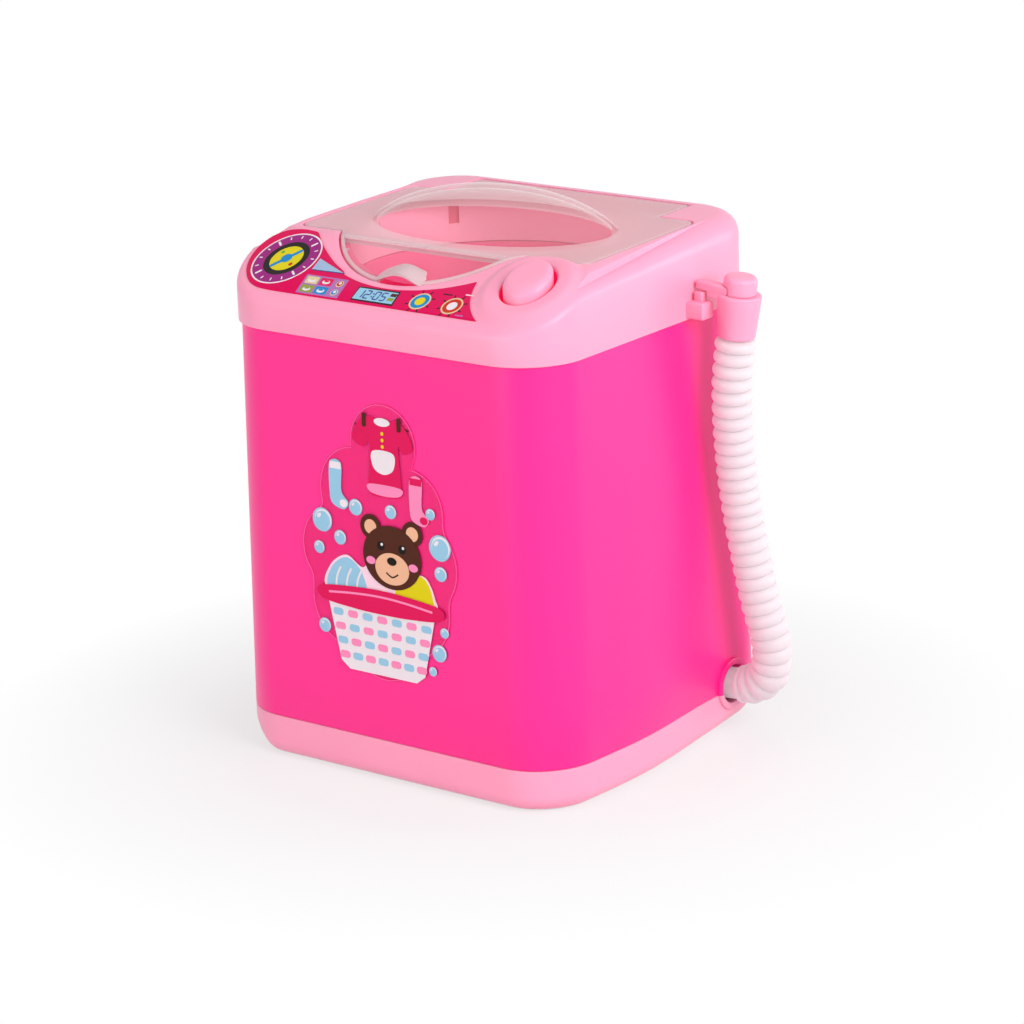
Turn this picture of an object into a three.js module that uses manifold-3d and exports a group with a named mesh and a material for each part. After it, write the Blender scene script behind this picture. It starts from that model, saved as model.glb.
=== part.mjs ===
// Battery-driven toy washing machine with a top lid, a wash tub with a spinning agitator
// and a ribbed drain hose that stands along the right wall. Millimetres, +Z up. The front
// of the machine faces -Y and the hose is on its +X side. The origin lies on the surface
// that the machine stands on, under the middle of the body.
import * as THREE from 'three';
import { mergeVertices } from 'three/addons/utils/BufferGeometryUtils.js';
import Module from 'manifold-3d';

const wasm = await Module();
wasm.setup();

// Casing: base tray, body shell and top cover
const bodyWidthBase = 93.1;
const bodyWidthTop = 91.2;
const bodyDepthBase = 86.6;
const bodyDepthTop = 84.8;
const cornerRadius = 14;
const rearCornerRadius = 10.5;
const sideBulge = 1.7;
const bulgeSetback = 33.3;
const bulgeReach = 32;
const baseHeight = 10;
const bodyHeight = 92;
const wall = 1.8;
const baseFloor = 2;
const baseEdgeRadius = 4;
const baseFarRadius = 7.5;
const baseFarStart = 45;
const baseFarEnd = 76;
const baseSoftInset = 3.5;
const baseSoftWidth = 8;
const coverOverhang = 0.8;
const coverThickness = 2;
const frontSkirt = 7.5;
const slopeDepth = 22.2;
const slopeAngle = THREE.MathUtils.degToRad(25.8);
const topAngle = THREE.MathUtils.degToRad(1.5);
const topEdgeRadius = 4.6;
const slopeEdgeRadius = 1.6;

// Clearances
const fitGap = 0.3;
const lidGap = 0.45;
const filmGap = 0.05;
const overrun = 1;

// Wash tub, and the mouth of the cover above it
const tubY = 2.6;
const mouthRadius = 33;
const collarWall = 1.5;
const collarDepth = 6.2;
const collarSlotWidth = 2.6;
const collarSlotRise = 4.7;
const collarSlotHeight = 4.5;
const collarSlotAngle = 144;
const tubFloorRadius = 29.5;
const tubWall = 1.5;
const tubFloor = 1.8;
const tubFloorZ = 52;
const tubFlangeThickness = 1.6;
const tubFlangeWidth = 2.3;
const tubEarRadius = 4;
const tubScrewRadius = 38.5;
const tubScrewAngles = [20, 160, 200, 340];
const tubRibCount = 3;
const tubRibWidth = 2.6;
const tubRibDepth = 1.4;
const tubRibMargin = 6;
const drainX = 27;
const drainY = 10;
const spigotBore = 1;
const spigotLength = 3;

// Lid
const lidThickness = 1.3;
const lidHalfWidth = 40.4;
const lidArcRadius = 29.1;
const lidArcX = -2;
const lidArcSetback = 39.1;
const lidFrontOffset = 3.2;
const lidNeckLength = 10.4;
const lidNeckHalfWidth = 30;
const lidCornerRadius = 2.6;
const hingeSetback = 8.2;
const hingeDrop = 1.8;
const lidTail = 1.5;
const hingePinRadius = 1;
const hingePinLength = 2.6;
const knuckleRadius = 1.6;
const knuckleLength = 2.4;
const domeHalfX = 31.8;
const domeHalfY = 19.6;
const domeX = -0.8;
const domeY = 3.4;
const domeHeight = 8.4;
const domeArc = THREE.MathUtils.degToRad(60);
const archX = -0.2;
const archHalfWidth = 6.4;
const archLength = 5;
const archHeight = 2.4;
const archWall = 1;

// Push button, its well and the switch below it
const buttonX = 33.1;
const buttonSetback = 13.8;
const buttonRadius = 5.55;
const buttonRise = 3.5;
const buttonEdge = 1.4;
const buttonSkirt = 9;
const buttonWall = 1.4;
const buttonTravel = 2;
const wellRadius = 6.35;
const wellWall = 1.2;
const wellDepth = 18;
const moundFoot = 12.2;
const moundTop = 9.6;
const moundHeight = 1.1;
const plungerRadius = 1.5;
const springRadius = 3.4;
const springWire = 0.6;
const switchRadius = 8.2;
const switchHead = 1.5;
const switchSide = 9;
const switchHeight = 7;

// Control label on the slope, and the sticker on the front wall
const labelThickness = 0.25;
const labelFrontMargin = 2.5;
const labelDialX = -35;
const labelDialSetback = 12.6;
const labelEndRadius = 9.2;
const labelFrontLeft = -29.6;
const labelArcX = -1.6;
const labelArcSetback = 48.6;
const labelArcRadius = 40.8;
const labelTailX = 36;
const labelTailSetback = 17.2;
const labelTailRadius = 17.2;
const stickerWidth = 44.8;
const stickerHeight = 65.4;
const stickerX = -0.4;
const stickerZ = 56.9;
const stickerThickness = 0.25;
// Centre and radius of each round lobe of the sticker: across, up, and radius by width
const stickerLobeShares = [
  [0.05, 0.36, 0.205], [-0.13, 0.17, 0.24], [0.2, 0.14, 0.22], [-0.265, -0.05, 0.235],
  [0.25, -0.05, 0.25], [0, 0, 0.3], [-0.2, -0.24, 0.24], [0.22, -0.23, 0.22], [0.02, -0.33, 0.245],
];

// Hose bracket on the cover's right wall
const bracketSetback = 16.4;
const bracketWidth = 4.3;
const bracketReach = 4.6;
const bracketBottom = 0.5;
const bracketHeight = 3.8;
const postOffset = 0.7;
const postThickness = 2.2;
const postWidth = 2.1;
const postHeight = 2.1;

// Drain hose with its port, end sleeve and stopper
const portSetback = 15.7;
const portZ = 11.4;
const portRadius = 4.6;
const portRimRadius = 6.2;
const portRimHeight = 0.7;
const socketClearance = 0.9;
const hoseCrest = 4.75;
const hoseRoot = 3.5;
const hoseBore = 2.9;
const cuffRadius = 3.7;
const cuffLength = 9.8;
const ribPitch = 3.2;
const boreStep = 5;
const elbowRibs = 8;
const ringSides = 8;
const hoseX = 41;
// Route of the hose: across, forward from the port, and up
const hoseBends = [
  [hoseX, 0, portZ], [47, 0, portZ], [52.3, 0, 12.4], [56.4, 0.3, 15],
  [58.1, 0.7, 19.4], [58.3, 1.5, 25], [56.6, 3.1, 34.6], [54.9, 4.6, 46.6],
  [53.6, 6.1, 58.8], [53.2, 7.6, 70.9], [53.9, 9.4, 86], [55.22, 9.6, 98.1],
];
const sleeveTilt = 6.2;
const sleeveLength = 10;
const sleeveTopRadius = 5.05;
const sleeveBottomRadius = 4.35;
const sleeveEdge = 0.5;
const sleeveBore = 3.1;
const stopperRadius = 3.8;
const stopperHeight = 4.2;
const stopperEdge = 1.3;
const stopperPlug = 5;
const armY = -2.5;
const armWidth = 3;
const armThickness = 1.8;
const armReach = 9.2;
const armRootReach = 5.9;
const armRootHeight = 3.2;

// Drive: motor, shaft, seal and agitator
const motorWidth = 20.1;
const motorDepth = 15.1;
const motorCanHeight = 20;
const motorCapRadius = 7;
const motorCapHeight = 2.5;
const shaftRadius = 1;
const shaftGrip = 6;
const pillarHeight = 4;
const pillarRadius = 2.6;
const motorPlate = 1.5;
const motorPlateLength = 36;
const motorPlateWidth = 17;
const motorBossRadius = 3;
const motorScrewX = 14;
const sealRadius = 4;
const sealLipRadius = 5.2;
const sealLip = 0.8;
const sealDrop = 0.6;
const agitatorRadius = 21;
const agitatorDisc = 2.2;
const agitatorGap = 1.6;
const finCount = 4;
const finWidth = 3.4;
const finTopWidth = 1.8;
const finHeight = 6;
const finMargin = 1.4;
const hubRadius = 5;
const hubTopRadius = 3.4;
const hubHeight = 11;
const hubCap = 2.4;

// Battery compartment in the base, for two AA cells lying along X
const cellLength = 50.5;
const cellRadius = 7.1;
const cellPitch = 14.8;
const cellNub = 1;
const cellNubRadius = 2.75;
const batterySetback = 22.7;
const contactTravel = 4.2;
const contactPlate = 0.4;
const contactHalfWidth = 5;
const contactHalfHeight = 6;
const coneRadius = 4;
const coneTip = 2.5;
const tabHalfWidth = 1.5;
const tabRise = 2;
const compartmentWall = 1.4;
const doorThickness = 1.6;
const doorRecess = 0.3;
const doorRim = 2.4;
const doorTabLength = 5;
const doorTabHalfWidth = 5;
const doorFrame = 1.6;

// Screws
const screwShank = 1.3;
const screwHead = 2.6;
const screwHeadHeight = 1.6;
const screwBossWall = 1.9;
const baseScrewInsetX = 12;
const baseScrewInsetY = 8;
const baseScrewSeat = 5;
const baseScrewLength = 14;
const bodyPostHeight = 14;
const bodyWeb = 1.6;
const tubScrewLength = 8;
const motorScrewShank = 0.9;
const motorScrewHead = 1.9;
const motorScrewLength = 4.8;
const doorScrewLength = 5;

// Drain pipe and wires
const pipeRadius = 3;
const pipeBore = 2;
const wireRadius = 0.6;

// Bends of the drain pipe, measured forward from the port, and of the wires between their ends
const pipeBends = [[28, 16.6, 38], [32, 12.1, 27], [35, 7.1, 18.5], [36, 2.1, 13]];
const pipeEndX = 38;
const supplyBends = [[31, 4, 25], [37, -4, 34], [39, -12, 50], [37.5, -22, 68]];
const supplyFirstY = 13;
const supplyFirstZ = 23.4;
const supplyEndX = 35;
const wireRiseZ = 82;
const switchEndX = 31;
const switchBends = [[32, -24, 62], [30, -20, 44], [20, -10, 28], [9, -3, 20.5], [5, 1, 21.2]];
const returnBends = [
  [-5, 1, 21.2], [-3, -6, 20.5], [10, -7, 21], [19, 2, 20.6], [22, 16, 21], [26, 26.4, 22.8]];

// Round shapes: segments in a full turn, and steps along a corner or an edge
const fineTurn = 48;
const midTurn = 24;
const smallTurn = 12;
const wireTurn = 6;
const cornerSteps = 6;
const edgeSteps = 3;
const sideSteps = 6;

// Levels and planes that follow from the sizes
const lowSeam = baseHeight;
const highSeam = baseHeight + bodyHeight;
const coverWidth = bodyWidthTop + 2 * coverOverhang;
const coverDepth = bodyDepthTop + 2 * coverOverhang;
const coverCorner = cornerRadius + coverOverhang;
const coverFront = -coverDepth / 2;
const bendY = coverFront + slopeDepth;
const lidArcY = coverFront + lidArcSetback;
const labelArcY = coverFront + labelArcSetback;
const labelTailY = coverFront + labelTailSetback;
const bulgeY = bulgeSetback - bodyDepthBase / 2;
const baseSoftEnd = bodyWidthBase / 2 - baseSoftInset;
const hingeY = coverDepth / 2 - hingeSetback;
const lidShoulderY = hingeY - lidNeckLength;
const buttonY = coverFront + buttonSetback;
const labelDialY = coverFront + labelDialSetback;
const batteryY = bodyDepthBase / 2 - batterySetback;
const portY = bodyDepthBase / 2 - portSetback;
const bracketY = portY - bracketSetback;
const hoseRoute = hoseBends.map(([x, forward, z]) => [x, portY - forward, z]);
const farAway = 2 * coverWidth;
const quarter = Math.PI / 2;

function slopeHeight(y) {
  return highSeam + frontSkirt + (y - coverFront) * Math.tan(slopeAngle);
}

function topHeight(y) {
  return slopeHeight(bendY) + (y - bendY) * Math.tan(topAngle);
}

function frontWallY(z) {
  const share = (z - lowSeam) / bodyHeight;
  return -THREE.MathUtils.lerp(bodyDepthBase, bodyDepthTop, share) / 2;
}

const coverTop = topHeight(coverDepth / 2);
const recessDepth = lidThickness + fitGap;
const collarBottom = slopeHeight(tubY - mouthRadius) - collarDepth;
const hingeZ = topHeight(hingeY) - hingeDrop;
const troughReach = Math.hypot(lidTail, hingeDrop) + fitGap;
const troughFloor = hingeZ - troughReach;
const pinEnd = lidNeckHalfWidth + hingePinLength;
const wellBottom = slopeHeight(buttonY) - wellDepth;
const tubTop = collarBottom - fitGap;
const tubFloorTop = tubFloorZ + tubFloor;
const motorPlateTop = tubFloorZ - pillarHeight;
const motorTop = motorPlateTop - motorPlate;
const agitatorBottom = tubFloorTop + agitatorGap;
const bossRadius = screwShank + fitGap + screwBossWall;

const doorTop = doorRecess + doorThickness;
const cellZ = doorTop + fitGap + cellRadius;
const compartmentHalfX = (cellLength + contactTravel) / 2 + contactPlate + fitGap;
const compartmentHalfY = cellPitch / 2 + cellRadius + fitGap;
const compartmentTop = cellZ + cellRadius + fitGap;
const compartmentRoof = compartmentTop + compartmentWall;
const contactFace = compartmentHalfX - fitGap / 2;
const plusY = batteryY - cellPitch / 2;
const minusY = batteryY + cellPitch / 2;
const doorHalfX = compartmentHalfX + doorRim;
const doorHalfY = compartmentHalfY + doorRim;
const doorScrewX = -doorHalfX - doorTabLength / 2;

const baseScrewX = bodyWidthBase / 2 - baseScrewInsetX;
const baseScrewY = bodyDepthBase / 2 - baseScrewInsetY;
const baseScrews = [[1, -1], [1, 1], [-1, 1], [-1, -1]].map(
  ([sx, sy]) => [sx * baseScrewX, sy * baseScrewY]);
const tubScrews = tubScrewAngles.map((degrees) => {
  const angle = THREE.MathUtils.degToRad(degrees);
  return [tubScrewRadius * Math.cos(angle), tubY + tubScrewRadius * Math.sin(angle)];
});

// A closed mesh as a solid for joining and cutting, with its faces turned outwards.
function solid(geometry) {
  let plain = geometry.clone();
  for (const name of Object.keys(plain.attributes)) {
    if (name !== 'position') plain.deleteAttribute(name);
  }
  plain = mergeVertices(plain);
  const position = plain.attributes.position.array;
  const index = [];
  let volume = 0;
  const corners = [new THREE.Vector3(), new THREE.Vector3(), new THREE.Vector3()];
  for (let i = 0; i < plain.index.count; i += 3) {
    const [a, b, c] = [0, 1, 2].map((step) => plain.index.getX(i + step));
    if (a === b || b === c || c === a) continue;
    index.push(a, b, c);
    [a, b, c].forEach((vertex, step) => corners[step].fromArray(position, 3 * vertex));
    volume += corners[0].dot(corners[1].cross(corners[2]));
  }
  if (volume < 0) index.reverse();
  return new wasm.Manifold(new wasm.Mesh({
    numProp: 3, vertProperties: Float32Array.from(position), triVerts: Uint32Array.from(index),
  }));
}

function join(solids) {
  return solids.reduce((all, next) => all.add(next));
}

// A box between two corners.
function box(low, high) {
  const size = high.map((value, i) => value - low[i]);
  const middle = high.map((value, i) => (value + low[i]) / 2);
  return solid(new THREE.BoxGeometry(...size).translate(...middle));
}

// An upright cylinder or cone.
function post(x, y, low, high, radius, topRadius = radius, turn = smallTurn) {
  const geometry = new THREE.CylinderGeometry(topRadius, radius, high - low, turn);
  return solid(geometry.rotateX(quarter).translate(x, y, (low + high) / 2));
}

// A cylinder or cone along X.
function rodX(low, high, y, z, radius, turn = smallTurn, farRadius = radius) {
  const geometry = new THREE.CylinderGeometry(radius, farRadius, high - low, turn);
  return solid(geometry.rotateZ(quarter).translate((low + high) / 2, y, z));
}

// A turned body about the upright line through (x, y), from pairs of radius and height.
function turned(x, y, profile, turn = midTurn) {
  return solid(spun(profile, turn).translate(x, y, 0));
}

function spun(profile, turn) {
  const points = profile.map(([radius, height]) => new THREE.Vector2(radius, height));
  return new THREE.LatheGeometry(points, turn).rotateX(quarter);
}

// A flat outline raised between two heights.
function slab(points, low, high) {
  const shape = new THREE.Shape(points);
  const geometry = new THREE.ExtrudeGeometry(shape, { depth: high - low, bevelEnabled: false });
  return geometry.translate(0, 0, low);
}

function prism(points, low, high) {
  return solid(slab(points, low, high));
}

function arc(x, y, radius, start, end, steps = cornerSteps) {
  return Array.from({ length: steps + 1 }, (_, i) => {
    const angle = start + (end - start) * i / steps;
    return new THREE.Vector2(x + radius * Math.cos(angle), y + radius * Math.sin(angle));
  });
}

// A rounded rectangle about the origin, anticlockwise from its front right corner.
// The rear corners may have a radius of their own, and the sides may be drawn in steps.
function roundedRectangle(width, depth, radius, rear = radius, steps = 1) {
  const [x, y] = [width / 2, depth / 2];
  const side = Array.from({ length: steps - 1 }, (_, i) => new THREE.Vector2(
    x, THREE.MathUtils.lerp(radius - y, y - rear, (i + 1) / steps)));
  const right = [
    ...arc(x - radius, radius - y, radius, -quarter, 0),
    ...side,
    ...arc(x - rear, y - rear, rear, 0, quarter)];
  return [...right, ...right.map((point) => new THREE.Vector2(-point.x, point.y)).reverse()];
}

function level(points, z) {
  return points.map((point) => new THREE.Vector3(point.x, point.y, z));
}

// A skin through rings of equal count: its ends are capped, or it closes on itself.
function skin(rings, closed = false) {
  const count = rings[0].length;
  const bands = closed ? rings.length : rings.length - 1;
  const index = [];
  for (let band = 0; band < bands; band++) {
    const here = band * count;
    const there = ((band + 1) % rings.length) * count;
    for (let i = 0; i < count; i++) {
      const next = (i + 1) % count;
      index.push(here + i, here + next, there + next, here + i, there + next, there + i);
    }
  }
  const last = (rings.length - 1) * count;
  for (let i = 1; i + 1 < count && !closed; i++) {
    index.push(0, i + 1, i, last, last + i, last + i + 1);
  }
  const geometry = new THREE.BufferGeometry();
  const position = rings.flat().flatMap((point) => [point.x, point.y, point.z]);
  geometry.setAttribute('position', new THREE.Float32BufferAttribute(position, 3));
  geometry.setIndex(index);
  return geometry;
}

// A geometry built on the level plane, laid on one plane of the cover's top.
function layOn(geometry, heightAt) {
  const laid = geometry.clone();
  const position = laid.attributes.position;
  for (let i = 0; i < position.count; i++) {
    position.setZ(i, position.getZ(i) + heightAt(position.getY(i)));
  }
  return laid;
}

// The solid that a geometry makes where it follows both the slope and the rear plane.
function drape(slopeGeometry, topGeometry = slopeGeometry) {
  const slope = solid(layOn(slopeGeometry, slopeHeight));
  return slope.intersect(solid(layOn(topGeometry, topHeight)));
}

// All that lies deeper than drop under the cover's top.
function below(drop) {
  const block = new THREE.BoxGeometry(farAway, farAway, farAway);
  return drape(block.translate(0, 0, -drop - farAway / 2));
}

// Rings along a curve, carried from one to the next without a twist. A station is how far
// along the curve it lies, as a length, and its radius.
function ringsAlong(curve, stations, turn) {
  const length = curve.getLength();
  const side = new THREE.Vector3(0, 1, 0);
  return stations.map(([distance, radius]) => {
    const share = THREE.MathUtils.clamp(distance / length, 0, 1);
    const centre = curve.getPointAt(share);
    const along = curve.getTangentAt(share);
    side.addScaledVector(along, -side.dot(along)).normalize();
    const up = new THREE.Vector3().crossVectors(along, side);
    return Array.from({ length: turn }, (_, i) => {
      const angle = (i + 1 / 2) * 2 * Math.PI / turn;
      return centre.clone().addScaledVector(side, radius * Math.cos(angle))
        .addScaledVector(up, radius * Math.sin(angle));
    });
  });
}

function smoothCurve(points) {
  const vectors = points.map((point) => new THREE.Vector3(...point));
  return new THREE.CatmullRomCurve3(vectors, false, 'centripetal');
}

// Even stations from end to end.
function evenStations(length, step, radius) {
  const count = Math.ceil(length / step);
  return Array.from({ length: count + 1 }, (_, i) => [length * i / count, radius]);
}

// Materials
function plastic(color, roughness = 0.35) {
  return new THREE.MeshStandardMaterial({ color, roughness, metalness: 0 });
}

function metal(color, roughness = 0.3) {
  return new THREE.MeshStandardMaterial({ color, roughness, metalness: 1 });
}

const palePink = plastic(0xfdb0c9);
const hotPink = plastic(0xff3a93, 0.3);
const frosted = plastic(0xeecdd6, 0.25);
const hosePlastic = plastic(0xf3e6ea, 0.4);
const labelMagenta = plastic(0xe2005c, 0.3);
const stickerFilm = plastic(0xf7d4e2, 0.25);
const steel = metal(0xb9bcc2);
const brass = metal(0xd2a04a, 0.35);
const rubber = plastic(0x26262a, 0.7);
const darkPlastic = plastic(0x3a3d42, 0.5);
const cellFilm = plastic(0x2f6f4e, 0.4);
const redFilm = plastic(0xc61d23, 0.5);

const machine = new THREE.Group();

function addPiece(name, shape, material) {
  const data = shape.getMesh();
  const geometry = new THREE.BufferGeometry();
  const position = new THREE.Float32BufferAttribute(Float32Array.from(data.vertProperties), 3);
  geometry.setAttribute('position', position);
  geometry.setIndex(Array.from(data.triVerts));
  const mesh = new THREE.Mesh(geometry, material);
  mesh.name = name;
  machine.add(mesh);
}

// How far the side walls bulge at the lower seam.
function bulge(y) {
  const away = Math.min(Math.abs(y - bulgeY) / bulgeReach, 1);
  return sideBulge * (0.5 + 0.5 * Math.cos(Math.PI * away));
}

// Footprint of the casing at a height, drawn in by inset.
function footprint(z, inset) {
  const share = Math.max((z - lowSeam) / bodyHeight, 0);
  const width = THREE.MathUtils.lerp(bodyWidthBase, bodyWidthTop, share);
  const depth = THREE.MathUtils.lerp(bodyDepthBase, bodyDepthTop, share);
  const rear = THREE.MathUtils.lerp(rearCornerRadius, cornerRadius, share);
  const plan = roundedRectangle(
    width - 2 * inset, depth - 2 * inset, cornerRadius - inset, rear - inset, sideSteps);
  const fade = Math.max(1 - share, 0);
  return level(plan.map((point) => new THREE.Vector2(
    point.x + Math.sign(point.x) * bulge(point.y) * fade, point.y)), z);
}

// One ring of the base's rounded lower edge, which is softer at the sides far from the front
// right corner.
function baseRing(angle) {
  const inner = footprint(0, baseEdgeRadius);
  return footprint(0, 0).map((point, i) => {
    const away = Math.hypot(point.x - bodyWidthBase / 2, point.y + bodyDepthBase / 2);
    const far = THREE.MathUtils.clamp((away - baseFarStart) / (baseFarEnd - baseFarStart), 0, 1);
    const side = THREE.MathUtils.smoothstep(Math.abs(point.x), baseSoftEnd - baseSoftWidth, baseSoftEnd);
    const radius = THREE.MathUtils.lerp(baseEdgeRadius, baseFarRadius, far * far * side);
    const drawnIn = point.lerp(inner[i], radius * (1 - Math.sin(angle)) / baseEdgeRadius);
    return drawnIn.setZ(radius * (1 - Math.cos(angle)));
  });
}

// A screw with its point up: its head seats against the level given.
function screw(x, y, seat, length, shank = screwShank, head = screwHead) {
  const top = post(x, y, seat - screwHeadHeight, seat, head);
  return top.add(post(x, y, seat - screwHeadHeight / 2, seat + length, shank));
}

// The ring round the hose port, on the part of the wall between two levels.
function portRim(low, high) {
  const back = bodyWidthBase / 2 - wall;
  const rim = rodX(back, bodyWidthBase / 2 + portRimHeight, portY, portZ, portRimRadius, midTurn);
  return rim.intersect(box([0, 0, low], [farAway, farAway, high]));
}

// Door outline: a slab with the tab that its screw passes through
function doorSlab(grow, low, high) {
  const slabPart = box(
    [-doorHalfX - grow, batteryY - doorHalfY - grow, low],
    [doorHalfX + grow, batteryY + doorHalfY + grow, high]);
  const tab = box(
    [-doorHalfX - doorTabLength - grow, batteryY - doorTabHalfWidth - grow, low],
    [-doorHalfX + overrun, batteryY + doorTabHalfWidth + grow, high]);
  return slabPart.add(tab);
}

// Base tray: floor, battery compartment, screw bosses and the hose's socket
function makeBaseTray() {
  const rings = Array.from({ length: edgeSteps + 1 }, (_, i) => baseRing(quarter * i / edgeSteps));
  rings.push(footprint(baseHeight, 0));
  const cavity = [footprint(baseFloor, wall + baseEdgeRadius / 2), footprint(baseEdgeRadius, wall),
    footprint(baseHeight + overrun, wall)];
  const middle = baseFloor / 2;
  const compartment = box(
    [-compartmentHalfX - compartmentWall, batteryY - compartmentHalfY - compartmentWall, middle],
    [compartmentHalfX + compartmentWall, batteryY + compartmentHalfY + compartmentWall,
      compartmentRoof]);
  const socketEnd = bodyWidthBase / 2 - wall - socketClearance;
  const socketRadius = cuffRadius + fitGap + compartmentWall;
  const bosses = baseScrews.map(([x, y]) => post(x, y, middle, baseHeight, bossRadius));
  const tray = join([
    solid(skin(rings)).subtract(solid(skin(cavity))),
    compartment,
    doorSlab(fitGap + doorFrame, middle, doorTop + fitGap + doorFrame),
    post(doorScrewX, batteryY, middle, baseHeight, bossRadius),
    box([hoseX, portY - cuffRadius, middle], [socketEnd, portY + cuffRadius, portZ]),
    rodX(hoseX, socketEnd, portY, portZ, socketRadius, midTurn),
    portRim(0, lowSeam),
    ...bosses,
  ]);
  const slots = [plusY, minusY].map((y) => box(
    [contactFace - contactPlate - fitGap, y - tabHalfWidth - fitGap, compartmentTop - overrun],
    [compartmentHalfX + fitGap / 2, y + tabHalfWidth + fitGap, compartmentRoof + overrun]));
  const screwWays = baseScrews.flatMap(([x, y]) => [
    post(x, y, -overrun, baseHeight + overrun, screwShank + fitGap),
    post(x, y, -overrun, baseScrewSeat, screwHead + fitGap)]);
  return tray.subtract(join([
    box([-compartmentHalfX, batteryY - compartmentHalfY, -overrun],
      [compartmentHalfX, batteryY + compartmentHalfY, compartmentTop]),
    doorSlab(fitGap, -overrun, doorTop + filmGap),
    post(doorScrewX, batteryY, -overrun, baseHeight - wall, screwShank + fitGap),
    rodX(hoseX - overrun, farAway, portY, portZ, cuffRadius + fitGap, midTurn),
    rodX(socketEnd, farAway, portY, portZ, portRadius, midTurn),
    ...slots, ...screwWays,
  ]));
}
addPiece('base_tray', makeBaseTray(), palePink);

const doorHole = post(doorScrewX, batteryY, -overrun, doorTop + overrun, screwShank + fitGap);
addPiece('battery_door', doorSlab(0, doorRecess, doorTop).subtract(doorHole), palePink);
addPiece('battery_door_screw', screw(doorScrewX, batteryY, doorRecess, doorScrewLength), steel);
baseScrews.forEach(([x, y], i) => {
  addPiece(`base_screw_${i + 1}`, screw(x, y, baseScrewSeat, baseScrewLength), steel);
});

// Two AA cells lying head to tail. A cell's flat end meets its spring contact.
function makeCell(y, towards) {
  const shift = towards * contactTravel / 2;
  const start = shift - cellLength / 2;
  const end = shift + cellLength / 2;
  const canStart = towards > 0 ? start : start + cellNub;
  const canEnd = towards > 0 ? end - cellNub : end;
  const can = rodX(canStart, canEnd, y, cellZ, cellRadius, midTurn);
  return can.add(rodX(start, end, y, cellZ, cellNubRadius));
}
addPiece('battery_1', makeCell(plusY, 1), cellFilm);
addPiece('battery_2', makeCell(minusY, -1), cellFilm);

// Contacts: plates in the ends of the compartment, with spring cones and solder tabs
function contactBar(side, low, high) {
  const [start, end] = side > 0 ? [contactFace - contactPlate, contactFace]
    : [-contactFace, contactPlate - contactFace];
  return box([start, low - contactHalfWidth, cellZ - contactHalfHeight],
    [end, high + contactHalfWidth, cellZ + contactHalfHeight]);
}

function contactCone(side, y) {
  const face = contactFace - contactPlate / 2;
  const tip = contactFace - contactPlate - contactTravel + fitGap;
  return side > 0 ? rodX(tip, face, y, cellZ, coneTip, smallTurn, coneRadius)
    : rodX(-face, -tip, y, cellZ, coneRadius, smallTurn, coneTip);
}

function contactTab(y) {
  return box([contactFace - contactPlate, y - tabHalfWidth, cellZ],
    [contactFace, y + tabHalfWidth, compartmentRoof + tabRise]);
}
addPiece('contact_plus', contactBar(1, plusY, plusY).add(contactTab(plusY)), brass);
addPiece('contact_minus', join([
  contactBar(1, minusY, minusY), contactTab(minusY), contactCone(1, minusY)]), brass);
addPiece('contact_link', contactBar(-1, plusY, minusY).add(contactCone(-1, plusY)), brass);

// Body shell: a tapering sleeve with screw posts and a round port for the hose
function makeBodyShell() {
  const outer = skin([footprint(lowSeam, 0), footprint(highSeam, 0)]);
  const inner = skin([footprint(lowSeam - overrun, wall), footprint(highSeam + overrun, wall)]);
  const postTop = lowSeam + bodyPostHeight;
  const reach = -frontWallY(postTop) - wall / 2;
  const posts = baseScrews.flatMap(([x, y]) => [
    post(x, y, lowSeam, postTop, bossRadius),
    box([x - bodyWeb / 2, Math.min(y, Math.sign(y) * reach), lowSeam],
      [x + bodyWeb / 2, Math.max(y, Math.sign(y) * reach), postTop])]);
  const shell = join([
    solid(outer).subtract(solid(inner)), portRim(lowSeam, highSeam), ...posts]);
  const ways = baseScrews.map(([x, y]) => post(
    x, y, lowSeam - overrun, postTop - wall, screwShank + fitGap));
  const port = rodX(bodyWidthBase / 2 - wall - overrun, farAway, portY, portZ, portRadius, midTurn);
  return shell.subtract(join([port, ...ways]));
}
addPiece('body_shell', makeBodyShell(), hotPink);

// Lid outline, grown on every side
function lidOutline(grow) {
  const half = lidHalfWidth + grow;
  const radius = lidArcRadius + grow;
  const front = bendY + lidFrontOffset - grow;
  const shoulder = lidShoulderY + grow;
  const neck = lidNeckHalfWidth + grow;
  const rear = hingeY + lidTail + grow;
  const corner = lidCornerRadius + grow;
  const tilt = Math.asin((lidArcY - front) / radius);
  return [
    ...arc(lidArcX, lidArcY, radius, tilt - 2 * quarter, -tilt, 3 * cornerSteps),
    ...arc(half - corner, front + corner, corner, -quarter, 0, edgeSteps),
    ...arc(half - corner, shoulder - corner, corner, 0, quarter, edgeSteps),
    new THREE.Vector2(neck, shoulder),
    new THREE.Vector2(neck, rear),
    new THREE.Vector2(-neck, rear),
    new THREE.Vector2(-neck, shoulder),
    ...arc(corner - half, shoulder - corner, corner, quarter, 2 * quarter, edgeSteps),
    ...arc(corner - half, front + corner, corner, 2 * quarter, 3 * quarter, edgeSteps),
  ];
}

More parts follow.
